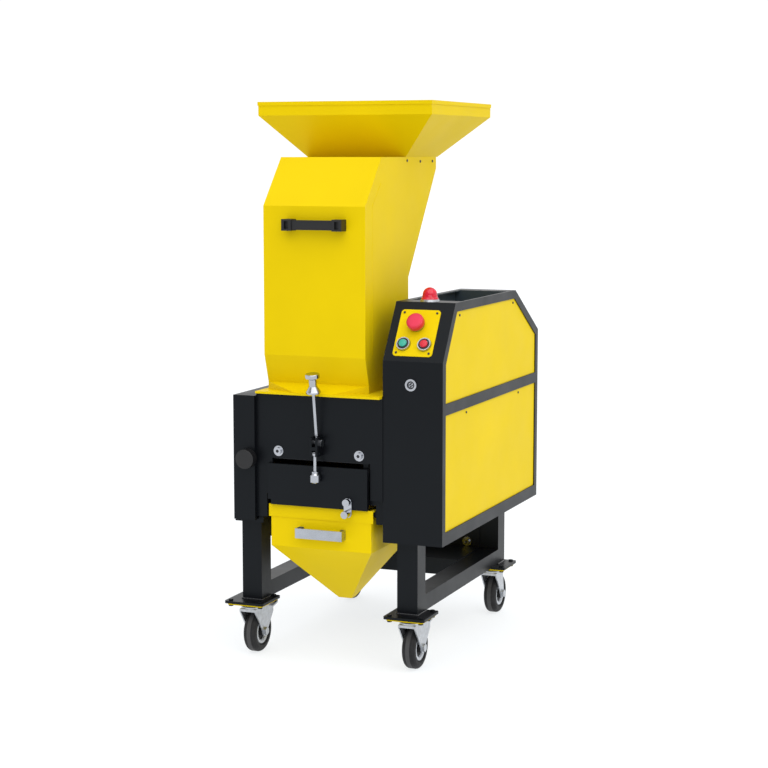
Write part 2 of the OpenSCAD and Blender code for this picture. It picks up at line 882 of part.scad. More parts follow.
// An upside-down U: its opening is closed by the screen door and, lower down, the bin
module front_plate() {
  opening_z = chamber_top - opening_down;
  right_z = chamber_top - leg_right_down;
  left_z = chamber_top - leg_left_down;
  left_x = chamber_x + leg_left_w;
  right_x = cabinet_x - leg_right_w;
  color(black) placed()
    difference() {
      along_y(plate_front_y, front_plate_t)
        polygon([
          [chamber_x, left_z], [chamber_x + leg_low_w, left_z],
          [chamber_x + leg_low_w, right_z], [left_x, right_z], [left_x, opening_z],
          [right_x, opening_z], [right_x, right_z], [cabinet_x, right_z],
          [cabinet_x, chamber_top], [chamber_x, chamber_top]
        ]);
      at_front_bolts()
        bar_y(plate_front_y - cut, plate_back_y + cut, washer_d / 5 + run);
    }
}

// A forked block for both clamp bolts: the upper slot opens upwards, the lower one downwards
module clevis_block() {
  top = chamber_top - clevis_down;
  low = top - clevis_h;
  front = plate_front_y - clevis_out;
  slot = rod_r + slack;
  color(black) placed()
    difference() {
      box([clamp_x - clevis_w / 2, front, low], [clamp_x + clevis_w / 2, plate_front_y, top]);
      box([clamp_x - slot, front - cut, swing_pin_z - eye_r - 2 * slack],
        [clamp_x + slot, swing_pin_y + eye_r + 2 * slack, top + cut]);
      box([clamp_x - slot, front - cut, low - cut],
        [clamp_x + slot, clamp_pin_y + eye_r + 2 * slack, clamp_pin_z + eye_r + 2 * slack]);
      translate([clamp_x, swing_pin_y, swing_pin_z])
        bar_x(-clevis_w, clevis_w, pin_r + run);
      at_clamp_pin()
        bar_x(-clevis_w, clevis_w, pin_r + run);
    }
}

module clevis_pins() {
  color(chrome) placed() {
    translate([clamp_x, swing_pin_y, swing_pin_z]) {
      bar_x(-clevis_w / 2, clevis_w / 2 + cut, pin_r);
      bar_x(clevis_w / 2, clevis_w / 2 + pin_r + cut, 3 * pin_r);
    }
    at_clamp_pin()
      bar_x(-clevis_w / 2, clevis_w / 2, pin_r);
  }
}

// The swing bolt's eye and rod, leaning forward out of the hopper's notch
module swing_rod() {
  color(chrome) placed()
    on_swing_rod()
      difference() {
        union() {
          bar_x(-rod_r, rod_r, eye_r);
          cylinder(h = nut_up + nut_h - 2 * rod_r, r = rod_r);
        }
        bar_x(-clevis_w, clevis_w, pin_r + run);
      }
}

module spool_nut() {
  flare_h = nut_h * nut_flare_share;
  head_z = nut_h * nut_head_share;
  color(chrome) placed()
    on_swing_rod()
      translate([0, 0, nut_up])
        difference() {
          rotate_extrude()
            polygon([
              [0, 0], [nut_r - slack, 0], [nut_r, 2 * slack], [nut_r, rod_r],
              [nut_neck_r, flare_h], [nut_neck_r, head_z - rod_r],
              [nut_head_r, head_z], [nut_head_r, nut_h - cut],
              [nut_head_r - cut, nut_h], [0, nut_h]
            ]);
          translate([0, 0, -cut])
            cylinder(h = nut_h - 2 * rod_r + 2 * cut, r = rod_r + run);
        }
}

// The lower bolt's eye and rod, which hangs in front of the screen door
module clamp_rod() {
  color(chrome) placed()
    at_clamp_pin()
      difference() {
        union() {
          bar_x(-rod_r, rod_r, eye_r);
          translate([0, 0, 2 * rod_r - knob_down - clamp_knob_h])
            cylinder(h = knob_down + clamp_knob_h - 2 * rod_r, r = rod_r);
        }
        bar_x(-clevis_w, clevis_w, pin_r + run);
      }
}

// A round knob with bevelled edges and a collar on top, which turns on the lower bolt
module clamp_knob() {
  bevel = rod_r / 2;
  grip_top = clamp_knob_h - 2 * rod_r;
  color(chrome) placed()
    at_clamp_pin()
      translate([0, 0, -knob_down - clamp_knob_h])
        difference() {
          rotate_extrude()
            polygon([
              [0, 0], [clamp_knob_r - bevel, 0], [clamp_knob_r, bevel],
              [clamp_knob_r, grip_top], [clamp_knob_r - bevel, grip_top + bevel],
              [2 * rod_r, grip_top + rod_r], [2 * rod_r, clamp_knob_h],
              [0, clamp_knob_h]
            ]);
          translate([0, 0, 2 * rod_r - slack])
            cylinder(h = clamp_knob_h, r = rod_r + run);
        }
}

// A front and a rear bed across the cutting chamber, with the fixed knives on top
module at_beds() {
  translate([0, plate_back_y, 0])
    children();
  translate([0, cavity_back_y, 0])
    mirror([0, 1, 0])
      children();
}

module knife_beds() {
  top = rotor_z - knife_t;
  color(black) placed()
    difference() {
      at_beds()
        box([tower_x, 0, top - bed_h], [tower_right, bed_d, top]);
      at_front_bolts()
        bar_y(plate_back_y - cut, plate_back_y + bed_d / 2, washer_d / 5 + run);
    }
}

module fixed_knives() {
  reach = rotor_y - plate_back_y - rotor_r - knife_gap;
  color(steel) placed()
    at_beds()
      box([tower_x, bed_d / 5, rotor_z - knife_t], [tower_right, reach, rotor_z]);
}

// A perforated half ring under the rotor, hung by its flanges under the knife beds
module screen() {
  inner = rotor_r + screen_gap;
  outer = inner + screen_t;
  top = -knife_t - bed_h;
  reach = cavity_d / 2;
  spread = acos(-top / inner);
  arc = 2 * spread * hole_arc_share;
  length = tower_w - 2 * slack;
  color(steel) placed()
    translate([tower_x + slack, rotor_y, rotor_z])
      difference() {
        union() {
          intersection() {
            bar_x(0, length, outer);
            box([0, -reach, -outer], [length, reach, top]);
          }
          for (side = [-1, 1])
            box([0, side < 0 ? -reach : inner * sin(spread), top - screen_t],
              [length, side < 0 ? -inner * sin(spread) : reach, top]);
        }
        bar_x(-cut, length + cut, inner);
        for (i = [0 : screen_columns - 1], j = [0 : screen_rows - 1])
          translate([length * (2 * i + 1) / (2 * screen_columns), 0, 0])
            rotate([arc * (j - (screen_rows - 1) / 2) / screen_rows, 0, 0])
              translate([0, 0, -outer - cut])
                cylinder(h = screen_t + 4 * cut, d = screen_hole_d);
      }
}

// A square flanged bearing on a wall at x = 0, standing out towards +X
module bearing() {
  half = bearing_w / 2;
  translate([0, rotor_y, rotor_z])
    difference() {
      union() {
        box([0, -half, -half], [bearing_t, half, half]);
        bar_x(0, bearing_len, bearing_boss_r);
      }
      bar_x(-cut, bearing_len + cut, shaft_r + run);
    }
}

module rotor_bearings() {
  color(steel) placed() {
    translate([left_wall_x, 0, 0])
      mirror([1, 0, 0])
        bearing();
    translate([tower_right + wall_t, 0, 0])
      bearing();
  }
}

module rotor_shaft() {
  x0 = left_wall_x - bearing_len - rod_r;
  x1 = cabinet_x + side_t + gearbox_size[0];
  color(steel) placed()
    translate([0, rotor_y, rotor_z])
      difference() {
        union() {
          bar_x(x0, x1, shaft_r);
          bar_x(tower_x + rod_r, tower_right - rod_r, rotor_body_r);
        }
        knife_set(rotor_body_r + cut);
      }
}

// The rotor's knives about its axis, with the stretch beyond radius r left out
module knife_set(r) {
  for (i = [0 : rotor_knives_n - 1])
    rotate([i * 360 / rotor_knives_n, 0, 0])
      box([tower_x + rod_r, rotor_body_r - knife_t, -knife_t / 2],
        [tower_right - rod_r, r, knife_t / 2]);
}

module rotor_knives() {
  // The knife's corners, not its middle, sweep the largest circle
  tip = sqrt(rotor_r * rotor_r - knife_t * knife_t / 4);
  color(zinc) placed()
    translate([0, rotor_y, rotor_z])
      knife_set(tip);
}

// Every second knuckle of the hopper's hinge from number first, each joined to a leaf
// between y0 and y1 and between z0 and z1, with the bore for the pin
module hinge_leaf(first, y0, y1, z0, z1) {
  pitch = tower_w / knuckles;
  difference() {
    for (i = [first : 2 : knuckles - 1]) {
      x0 = tower_x + i * pitch + slack;
      x1 = tower_x + (i + 1) * pitch - slack;
      box([x0, y0, z0], [x1, y1, z1]);
      translate([0, knuckle_y, knuckle_z])
        bar_x(x0, x1, knuckle_r);
    }
    translate([0, knuckle_y, knuckle_z])
      bar_x(tower_x - cut, tower_right + cut, hinge_pin_r + run);
  }
}

// The leaf on the chamber's rear wall, with the hinge's pin fixed in its knuckles
module hinge_fixed_leaf() {
  color(black) placed() {
    hinge_leaf(1, chamber_back_y, chamber_back_y + leaf_t, knuckle_z - leaf_h, knuckle_z);
    translate([0, knuckle_y, knuckle_z]) {
      bar_x(tower_x, tower_right, hinge_pin_r);
      for (i = [1 : 2 : knuckles - 1])
        bar_x(tower_x + (i + journal_share) * tower_w / knuckles,
          tower_x + (i + 1 - journal_share) * tower_w / knuckles, knuckle_r - cut);
    }
  }
}

module hinge_hopper_leaf() {
  color(black) placed()
    hinge_leaf(0, tower_back_y, knuckle_y, flange_top, flange_top + leaf_t);
}

// The flange under the tower, with a front wedge and a notch for the swing bolt
module hopper_flange() {
  x0 = chamber_x + flange_gap;
  x1 = cabinet_x - flange_gap;
  mid = tower_mid + wedge_shift;
  y1 = chamber_back_y - 2 * slack;
  wedge_y = tower_foot_y - wedge_run;
  color(yellow) placed()
    difference() {
      union() {
        box([x0, flange_y, chamber_top], [x1, y1, flange_top]);
        intersection() {
          linear_extrude(flange_top + toe_h)
            polygon([
              [mid - wedge_w / 2, wedge_y], [mid + wedge_w / 2, wedge_y],
              [tower_right, tower_foot_y], [tower_x, tower_foot_y]
            ]);
          along_x(tower_x, tower_w)
            polygon([
              [wedge_y, flange_top], [tower_foot_y, flange_top],
              [tower_foot_y, flange_top + toe_h]
            ]);
        }
      }
      box([tower_x + tower_t, tower_foot_y + tower_t, chamber_top - cut],
        [tower_right - tower_t, tower_back_y - tower_t, flange_top + cut]);
      box([clamp_x - rod_r - cut, flange_y - cut, chamber_top - cut],
        [clamp_x + rod_r + cut, swing_pin_y, flange_top + toe_h]);
      translate([clamp_x, swing_pin_y, chamber_top - cut])
        cylinder(h = flange_t + toe_h, r = rod_r + cut);
    }
}

// Two side plates with a folded front and back between them, open at the neck and foot
module hopper_tower() {
  front = concat(slice(tower_outline, 0, 4), [[neck_y, tower_top]]);
  back = slice(tower_outline, 5, 8);
  color(yellow) placed() {
    for (x = [tower_x, tower_right - tower_t])
      along_x(x, tower_t)
        polygon(tower_outline);
    along_x(tower_x, tower_w)
      sheet(front, tower_t);
    along_x(tower_x, tower_w)
      sheet(back, tower_t);
  }
}

// The tray's outline in one upright plane, between the neck's and the rim's ends
function tray_outline(n0, n1, r0, r1, low, high) = [
  [n0, low], [n1, low], [r1, tower_top + tray_slope_h], [r1, high],
  [r0, high], [r0, tower_top + tray_slope_h]
];

// The tray's solid shape, shrunk by t on each side
module tray_shape(t, low, high) {
  rim_x = tower_mid + tray_shift - tray_w / 2;
  rim_y = neck_y - rim_forward;
  intersection() {
    along_y(rim_y, tray_d)
      polygon(tray_outline(tower_x + t, tower_right - t, rim_x + t, rim_x + tray_w - t, low, high));
    along_x(rim_x, tray_w)
      polygon(tray_outline(neck_y + t, neck_y + neck_d - t, rim_y + t, rim_y + tray_d - t, low, high));
  }
}

// A four-sided funnel with an upright hemmed rim and a skirt that sits in the tower's neck
module feed_tray() {
  rim_x = tower_mid + tray_shift - tray_w / 2;
  rim_y = neck_y - rim_forward;
  rim_top = tower_top + tray_slope_h + tray_rim_h;
  hem = [hem_t, hem_t, 0];
  skirt_in = tower_t + slack;
  color(yellow) placed()
    difference() {
      union() {
        tray_shape(0, tower_top, rim_top);
        box([rim_x, rim_y, rim_top - hem_h] - hem, [rim_x + tray_w, rim_y + tray_d, rim_top] + hem);
        box([tower_x + skirt_in, neck_y + slack, tower_top - skirt_h],
          [tower_right - skirt_in, top_back_y - skirt_in, tower_top]);
      }
      tray_shape(tower_t, tower_top + tower_t, rim_top + cut);
      box([tower_x + skirt_in + tower_t, neck_y + slack + tower_t, tower_top - skirt_h - cut],
        [tower_right - skirt_in - tower_t, top_back_y - skirt_in - tower_t, tower_top + tower_t + cut]);
    }
}

module hopper_handle() {
  mid = tower_mid + handle_shift;
  z = flange_top + handle_up;
  w = handle_block[0];
  out = handle_block[1];
  h = handle_block[2];
  well = w * well_share;
  color(black) placed()
    difference() {
      union() {
        for (side = [-1, 1])
          translate([mid + side * handle_pitch / 2, tower_front - out, z])
            box([-w / 2, 0, -h / 2], [w / 2, out, h / 2]);
        box([mid - handle_pitch / 2, tower_front - out + tower_t, z - grip_h / 2],
          [mid + handle_pitch / 2, tower_front - out + tower_t + grip_t, z + grip_h / 2]);
      }
      for (side = [-1, 1])
        translate([mid + side * handle_pitch / 2, tower_front - out, z])
          box([-well / 2, -cut, -h / 3], [well / 2, out / 4, h / 3]);
    }
}

// The screen door: a plate over the front plate's opening, with a rib that locates it
module screen_door() {
  x1 = door_x + door_w;
  notch = [panel_lap, door_t, 1.5 * panel_lap];
  rib = chamber_x + leg_left_w + 2 * slack;
  color(black) placed()
    difference() {
      union() {
        box([door_x, door_y, door_z], [x1, door_y + door_t, door_z + door_h]);
        box([rib, door_y + door_t, door_z + door_h - 2 * panel_lap],
          [x1, plate_back_y - 2 * slack, door_z + door_h - panel_lap / 2]);
      }
      translate([door_x, door_y, door_z])
        box([-cut, -cut, -cut], notch + [0, cut, 0]);
    }
}

// The bin's solid shape, shrunk by t on each side
module bin_shape(t, high) {
  fold = bin_top - bin_wall_h;
  low = fold - bin_taper_h + t;
  floor_x = bin_x + (bin_w - bin_floor_w) / 2;
  intersection() {
    along_y(0, bin_d)
      polygon([
        [floor_x + t, low], [floor_x + bin_floor_w - t, low], [bin_x + bin_w - t, fold],
        [bin_x + bin_w - t, high], [bin_x + t, high], [bin_x + t, fold]
      ]);
    along_x(bin_x, bin_w)
      polygon([
        [bin_floor_y + t, low], [bin_floor_y + bin_floor_d - t, low], [bin_d - t, fold],
        [bin_d - t, high], [t, high], [t, fold]
      ]);
  }
}

module granule_bin() {
  color(yellow) placed()
    difference() {
      union() {
        bin_shape(0, bin_top);
        box([bin_x - rim_out, 0, bin_top - rim_t], [bin_x + bin_w + rim_out, bin_d, bin_top]);
        box([bin_x - rim_out, plate_front_y, bin_top - lip_h],
          [bin_x + bin_w + rim_out, 0, bin_top]);
      }
      bin_shape(bin_t, bin_top + cut);
      translate([catch_x, 0, bin_top - catch_down])
        bar_y(plate_front_y - cut, bin_t + cut, catch_knob_r / 2 + run);
    }
}

// A bent strap: a grip bar, two legs and two feet turned inwards
module bin_handle() {
  mid = bin_x + bin_w / 2 + bin_handle_shift;
  half = bin_handle_w / 2;
  z = bin_top - bin_handle_down;
  path = [
    [mid - half + strap_foot, 0], [mid - half, 0], [mid - half, -bin_handle_out],
    [mid + half, -bin_handle_out], [mid + half, 0], [mid + half - strap_foot, 0]
  ];
  color(chrome) placed()
    translate([0, 0, z - bin_handle_h / 2])
      linear_extrude(bin_handle_h)
        sheet(path, -strap_t);
}

// A turning strap on the bin's lip, with a stud that lies over the screen door's edge
module bin_catch() {
  back = door_y - slack;
  color(chrome) placed()
    translate([catch_x, 0, bin_top - catch_down]) {
      box([-catch_stud_r, back - rim_t, 0], [catch_stud_r, back, catch_up]);
      bar_y(back - rim_t, back, catch_stud_r);
      translate([0, 0, catch_up]) {
        bar_y(back - rim_t, back, catch_stud_r);
        bar_y(back - 5 * rim_t, back, catch_stud_r - cut);
      }
      bar_y(back - 8 * rim_t, back, catch_knob_r);
      bar_y(back - cut, plate_front_y - slack, catch_knob_r / 2 + cut);
      bar_y(back - cut, bin_t + cut, catch_knob_r / 2);
    }
}

// A folded cover over the left bearing, open towards the wall
module side_cover() {
  front = plate_front_y - cover_forward;
  bottom = left_foot_top;
  top = bottom + cover_h;
  color(black) placed()
    difference() {
      box([cover_x, front, bottom], [chamber_x, chamber_back_y, top]);
      box([cover_x + cover_t, front + cover_t, bottom - cut],
        [chamber_x - cover_t, chamber_back_y - cover_t, top - cover_t]);
      box([cover_x + cover_t, plate_front_y, bottom - cut],
        [chamber_x + cut, chamber_back_y - cover_t, top - cover_t]);
      translate([chamber_x - side_knob_x, 0, bottom + side_knob_up])
        bar_y(front - cut, front + cover_t + cut, side_knob_r / 4 + run);
    }
}

module side_knob() {
  front = plate_front_y - cover_forward;
  color(rubber) placed()
    translate([chamber_x - side_knob_x, 0, left_foot_top + side_knob_up]) {
      bar_y(front - side_knob_t, front - slack, side_knob_r);
      bar_y(front - cut, front + 4 * cover_t, side_knob_r / 4);
    }
}

module cabinet_left_side() {
  color(black) placed() {
    difference() {
      along_x(cabinet_x, side_t)
        polygon(cabinet_outline);
      shaft_hole(cabinet_x, cabinet_x + side_t, 2 * cut);
    }
    box([cabinet_x + side_t, shelf_y, cabinet_top - side_t],
      [cabinet_x + rim_w, tray_back_y, cabinet_top]);
  }
}

// The upright front, the sloped control face and the ledge in one folded sheet
module cabinet_front() {
  path = concat(slice(cabinet_outline, 0, 2), [[shelf_y - sheet_t, cabinet_top]]);
  color(black) placed()
    difference() {
      along_x(cabinet_x + side_t, cabinet_w - 3 * side_t)
        sheet(path, sheet_t);
      at_buttons()
        translate([0, 0, -sheet_t - cut])
          cylinder(h = sheet_t + 2 * cut, r = button_hole_r);
      at_lock()
        bar_y(-cut, sheet_t + cut, lock_d / 3 + run);
    }
}

// The recessed top, the rear bevel, the back and the floor in one folded sheet
module cabinet_back() {
  path = concat(
    [[shelf_y, cabinet_top], [shelf_y, tray_z], [tray_back_y, tray_z], [tray_back_y, cabinet_top]],
    slice(cabinet_outline, 3, 5), [[sheet_t, cabinet_z]]
  );
  color(black) placed()
    difference() {
      along_x(cabinet_x + side_t, cabinet_w - 3 * side_t)
        sheet(path, sheet_t);
      translate([cabinet_x + cabinet_w / 2, 0, cabinet_z + cable_hole_up])
        bar_y(cabinet_d - sheet_t - cut, cabinet_d + cut, cable_hole_r);
    }
}

// The area inside the side frame's border, above or below its middle band
module window(inset_by, upper, lap) {
  band_z = cabinet_z + band_up;
  low = upper ? band_z + band_h - lap : cabinet_z + border_low - lap;
  high = upper ? cabinet_top : band_z + lap;
  intersection() {
    polygon(inset(cabinet_outline, inset_by));
    translate([0, low])
      square([cabinet_d, high - low]);
  }
}

module side_frame() {
  color(black) placed() {
    along_x(cabinet_right - side_t, side_t)
      difference() {
        polygon(cabinet_outline);
        window(border, true, 0);
        window(border, false, 0);
      }
    along_x(cabinet_right - 2 * side_t, side_t)
      difference() {
        polygon(cabinet_outline);
        polygon(inset(cabinet_outline, border - panel_lap - slack));
      }
  }
}

module side_panels() {
  color(yellow) placed()
    for (upper = [true, false])
      along_x(cabinet_right - 2 * side_t, side_t)
        window(border - panel_lap, upper, panel_lap);
}

// The screws of the side panels and of the control plate
module cabinet_screws() {
  inset_by = border / 2;
  upper_mid = (slope_run + cabinet_d - bevel_run) / 2 + inset_by;
  lower_mid = cabinet_d / 2 + inset_by / 2;
  color(black) placed() {
    for (side = [-1, 1]) {
      translate([0, upper_mid + side * panel_screw_pitch / 2, cabinet_top - border - inset_by])
        bar_x(cabinet_right - side_t, cabinet_right - side_t / 3, small_screw_r);
      translate([0, lower_mid + side * panel_screw_pitch / 2, cabinet_z + band_up - inset_by])
        bar_x(cabinet_right - side_t, cabinet_right - side_t / 3, small_screw_r);
    }
    for (sx = [-1, 1], sy = [-1, 1])
      on_slope(plate_centre_x, plate_up + plate_l / 2)
        translate([sx * (plate_w / 2 - plate_r), sy * (plate_l / 2 - plate_r), plate_t])
          cylinder(h = plate_t, r = small_screw_r);
  }
}

module control_plate() {
  color(yellow) placed()
    difference() {
      on_slope(plate_centre_x, plate_up + plate_l / 2)
        linear_extrude(plate_t)
          round_rect(plate_w, plate_l, plate_r);
      at_buttons()
        translate([0, 0, -cut])
          cylinder(h = plate_t + 2 * cut, r = button_hole_r);
    }
}

// Two bezels and the stop button's collar, each with a barrel through the control face
module button_bezels() {
  color(chrome) placed()
    at_buttons()
      difference() {
        union() {
          translate([0, 0, plate_t])
            cylinder(h = bezel_h, d1 = bezel_d, d2 = bezel_d - 2 * plate_t);
          translate([0, 0, -barrel_depth])
            cylinder(h = barrel_depth + plate_t + cut, r = button_hole_r - run);
        }
        translate([0, 0, -barrel_depth - cut])
          cylinder(h = barrel_depth + bezel_d, d = cap_d + 2 * slack);
      }
}

// The switch blocks behind the buttons
module contact_blocks() {
  color(rubber) placed()
    at_buttons()
      translate([-bezel_d / 2, -bezel_d / 2, -barrel_depth - bezel_d])
        cube(bezel_d);
}

// A disc with a round upper edge
module rounded_disc(r, h, edge) {
  rotate_extrude() {
    square([r - edge, h]);
    square([r, h - edge]);
    translate([r - edge, h - edge])
      intersection() {
        circle(edge);
        square(edge);
      }
  }
}

// A button with a stem in its bezel and a cap from z0, which it can push in by travel
module button(z0, travel, r, h, edge) {
  stem = barrel_depth - travel - 2 * slack;
  translate([0, 0, -stem])
    cylinder(h = stem + z0 + cut, d = cap_d);
  translate([0, 0, z0])
    rounded_disc(r, h, edge);
}

module green_button() {
  color("mediumseagreen") placed()
    on_slope(plate_centre_x - button_pitch / 2, plate_up + button_up)
      button(plate_t + bezel_h, button_travel, cap_d / 2, cap_h, cap_edge);
}

module red_button() {
  color("orangered") placed()
    on_slope(plate_centre_x + button_pitch / 2, plate_up + button_up)
      button(plate_t + bezel_h, button_travel, cap_d / 2, cap_h, cap_edge);
}

module estop_button() {
  z0 = plate_t + bezel_h + estop_travel + slack;
  color("crimson") placed()
    at_estop()
      button(z0, estop_travel, estop_d / 2, estop_h, estop_edge);
}

module at_beacon() {
  translate([cabinet_x + cabinet_w / 2, slope_run + ledge / 2 - cut, cabinet_top])
    children();
}

module beacon_base() {
  color(zinc) placed()
    at_beacon()
      cylinder(h = beacon_base_h, d1 = beacon_d, d2 = beacon_d - 2 * cut);
}

// A flared skirt under a half sphere
module beacon_lens() {
  dome_z = beacon_lens_h - beacon_lens_r;
  skirt_r = beacon_d / 2 - 2 * cut;
  color("crimson") placed()
    at_beacon()
      translate([0, 0, beacon_base_h])
        rotate_extrude() {
          polygon([
            [0, 0], [skirt_r, 0], [skirt_r, cut], [beacon_lens_r + cut, dome_z / 2],
            [beacon_lens_r, dome_z], [0, dome_z]
          ]);
          intersection() {
            translate([0, dome_z])
              circle(beacon_lens_r);
            square([beacon_lens_r, beacon_lens_h]);
          }
        }
}

module at_lock() {
  translate([cabinet_x + lock_x, 0, cabinet_z + lock_up])
    children();
}

// A quarter-turn lock: a head with a key slot, a barrel and a cam behind the sheet
module cam_lock() {
  head = lock_d / 7;
  barrel_end = 6 * sheet_t;
  color(chrome) placed()
    at_lock()
      difference() {
        union() {
          bar_y(-head, -slack, lock_d / 2);
          bar_y(-cut, barrel_end, lock_d / 3);
          box([-lock_d / 6, barrel_end - sheet_t, -lock_d], [lock_d / 6, barrel_end, 0]);
        }
        bar_y(-head - cut, -head / 2, lock_d / 3);
        box([-lock_d / 12, -head - cut, -lock_d / 5], [lock_d / 12, 0, lock_d / 5]);
      }
}

module gearbox() {
  x0 = cabinet_x + side_t;
  half = gearbox_size / 2;
  color(steel) placed()
    difference() {
      translate([x0 + half[0], rotor_y, rotor_z]) {
        cube(gearbox_size, center = true);
        bar_x(half[0] - cut, half[0] + bearing_t, bearing_boss_r);
      }
      shaft_hole(x0, x0 + gearbox_size[0] + bearing_t, run);
    }
}

// Children at the motor's front end, with +Y along its shaft
module at_motor() {
  x = cabinet_x + side_t + motor_r + fin_h + cut;
  translate([x, rotor_y + gearbox_size[1] / 2, rotor_z])
    children();
}

// A finned motor behind the gearbox, with a hollow fan cover at its end
module motor() {
  body_l = motor_l - fan_cover_l;
  color(steel) placed()
    at_motor()
      difference() {
        union() {
          bar_y(0, body_l, motor_r);
          bar_y(body_l - fin_h, motor_l, motor_r + fin_h);
          for (i = [0 : fins - 1])
            rotate([0, i * 360 / fins, 0])
              box([0, fin_h, -fin_h / 4], [motor_r + fin_h, body_l, fin_h / 4]);
        }
        bar_y(body_l, motor_l - side_t, motor_r);
        bar_y(body_l - bearing_t, body_l + cut, motor_shaft_r + run);
        for (i = [0 : air_holes - 1])
          rotate([0, i * 360 / air_holes, 0])
            translate([motor_r / 2, 0, 0])
              bar_y(motor_l - side_t - cut, motor_l + cut, air_hole_r);
      }
}

// The motor's shaft end with its fan, inside the fan cover
module motor_fan() {
  body_l = motor_l - fan_cover_l;
  low = body_l + bearing_t;
  high = motor_l - bearing_t;
  color(rubber) placed()
    at_motor() {
      bar_y(body_l - bearing_t + slack, high, motor_shaft_r);
      bar_y(low, high, 2 * motor_shaft_r);
      for (i = [0 : fan_blades - 1])
        rotate([0, i * 360 / fan_blades, 0])
          box([motor_shaft_r, low, -side_t / 2], [motor_r - side_t, high, side_t / 2]);
    }
}

// The swivel axis of the caster on one side (-1 left, 1 right) and at leg centre y
module at_caster(side, y) {
  translate([side * caster_x, y - foot_forward, 0])
    children();
}

// A swivel head, a crown and two cheeks that hold the wheel's axle bolt and, where there
// is a brake, its pedal
module fork(side, y, with_brake) {
  half_gap = wheel_w / 2 + 2 * cut;
  outer = half_gap + cheek_t;
  crown_z = fork_top - crown_t;
  ear_y = pedal_y + 2 * pin_r;
  ear = with_brake
    ? [[ear_y, pedal_z + 2 * pin_r], [ear_y, pedal_z - 2 * pin_r]]
    : [[crown_reach, crown_z - crown_gap]];
  cheek = concat(
    [[-crown_reach, crown_z], [-crown_reach, fork_top], [crown_reach, fork_top]], ear,
    [[caster_trail + boss_r, wheel_r], [caster_trail - boss_r, wheel_r]]
  );
  color(zinc) placed()
    at_caster(side, y) {
      difference() {
        union() {
          translate([0, 0, fork_top])
            cylinder(h = swivel_h - slack, r = swivel_r);
          box([-outer, -crown_reach, crown_z], [outer, crown_reach, fork_top]);
          for (x = [-outer, half_gap])
            along_x(x, cheek_t) {
              polygon(cheek);
              translate([caster_trail, wheel_r])
                circle(boss_r);
            }
        }
        translate([0, caster_trail, wheel_r])
          bar_x(-outer - cut, outer + cut, axle_r + run);
        if (with_brake)
          translate([0, pedal_y, pedal_z])
            bar_x(-outer - cut, outer + cut, pin_r + run);
      }
      translate([0, caster_trail, wheel_r]) {
        bar_x(-outer, outer, axle_r);
        for (x = [-outer - axle_r, outer])
          translate([x, 0, 0])
            rotate([0, 90, 0])
              cylinder(h = axle_r, r = 2 * axle_r, $fn = 6);
      }
    }
}

// A tyre with round shoulders on a core with a middle boss
module wheel(side, y) {
  half = wheel_w / 2;
  color(rubber) placed()
    at_caster(side, y)
      translate([0, caster_trail, wheel_r])
        rotate([0, 90, 0])
          difference() {
            union() {
              rotate_extrude()
                tyre_profile(half);
              cylinder(h = half, r = core_r + cut, center = true);
              cylinder(h = wheel_w + 2 * cut, r = boss_r, center = true);
            }
            cylinder(h = wheel_w + 4 * cut, r = axle_r + run, center = true);
          }
}

// A tyre's cross-section from the core outwards, between -half and half
module tyre_profile(half) {
  translate([core_r, -half])
    square([wheel_r - shoulder_r - core_r, 2 * half]);
  translate([core_r, shoulder_r - half])
    square([wheel_r - core_r, 2 * (half - shoulder_r)]);
  for (side = [-1, 1])
    translate([wheel_r - shoulder_r, side * (half - shoulder_r)])
      circle(shoulder_r);
}

// A pedal on a cross pin between the fork's cheeks
module brake(side) {
  half = wheel_w / 2 + cut;
  outer = wheel_w / 2 + 2 * cut + cheek_t;
  color(zinc) placed()
    at_caster(side, leg_front_y)
      translate([0, pedal_y, pedal_z]) {
        bar_x(-outer, outer, pin_r);
        bar_x(cut - half, half - cut, pin_r + cut);
        rotate([pedal_rise, 0, 0])
          linear_extrude(pedal_t, center = true)
            pedal_outline(half);
      }
}

// A pedal seen from above: a plate with a round end and a hole in it
module pedal_outline(half) {
  end = pedal_l - half;
  difference() {
    union() {
      translate([-half, 0])
        square([2 * half, end]);
      translate([0, end])
        circle(half);
    }
    translate([0, end])
      circle(half / 3);
  }
}

module front_left_fork() fork(-1, leg_front_y, true);
module front_right_fork() fork(1, leg_front_y, true);
module rear_left_fork() fork(-1, leg_rear_y, false);
module rear_right_fork() fork(1, leg_rear_y, false);
module front_left_wheel() wheel(-1, leg_front_y);
module front_right_wheel() wheel(1, leg_front_y);
module rear_left_wheel() wheel(-1, leg_rear_y);
module rear_right_wheel() wheel(1, leg_rear_y);
module front_left_brake() brake(-1);
module front_right_brake() brake(1);

frame_legs();
frame_rails();
rear_shelf();
caster_plates();
socket_bolts();
caster_bolts();
chamber_walls();
front_plate();
clevis_block();
clevis_pins();
knife_beds();
fixed_knives();
screen();
rotor_bearings();
hinge_fixed_leaf();
side_cover();
cabinet_left_side();
cabinet_front();
cabinet_back();
side_frame();
side_panels();
cabinet_screws();
control_plate();
button_bezels();
contact_blocks();
beacon_base();
beacon_lens();
gearbox();
motor();
motor_fan();
feed_tray();
hopper_tower();
hopper_flange();
hopper_handle();
hinge_hopper_leaf();
rotor_shaft();
rotor_knives();
swing_rod();
spool_nut();
clamp_rod();
clamp_knob();
screen_door();
granule_bin();
bin_handle();
bin_catch();
side_knob();
estop_button();
green_button();
red_button();
cam_lock();
front_left_fork();
front_right_fork();
rear_left_fork();
rear_right_fork();
front_left_wheel();
front_right_wheel();
rear_left_wheel();
rear_right_wheel();
front_left_brake();
front_right_brake();
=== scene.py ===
"""Looks of a plastic granulator on casters: finishes, small fittings, camera and light."""
import json
import math

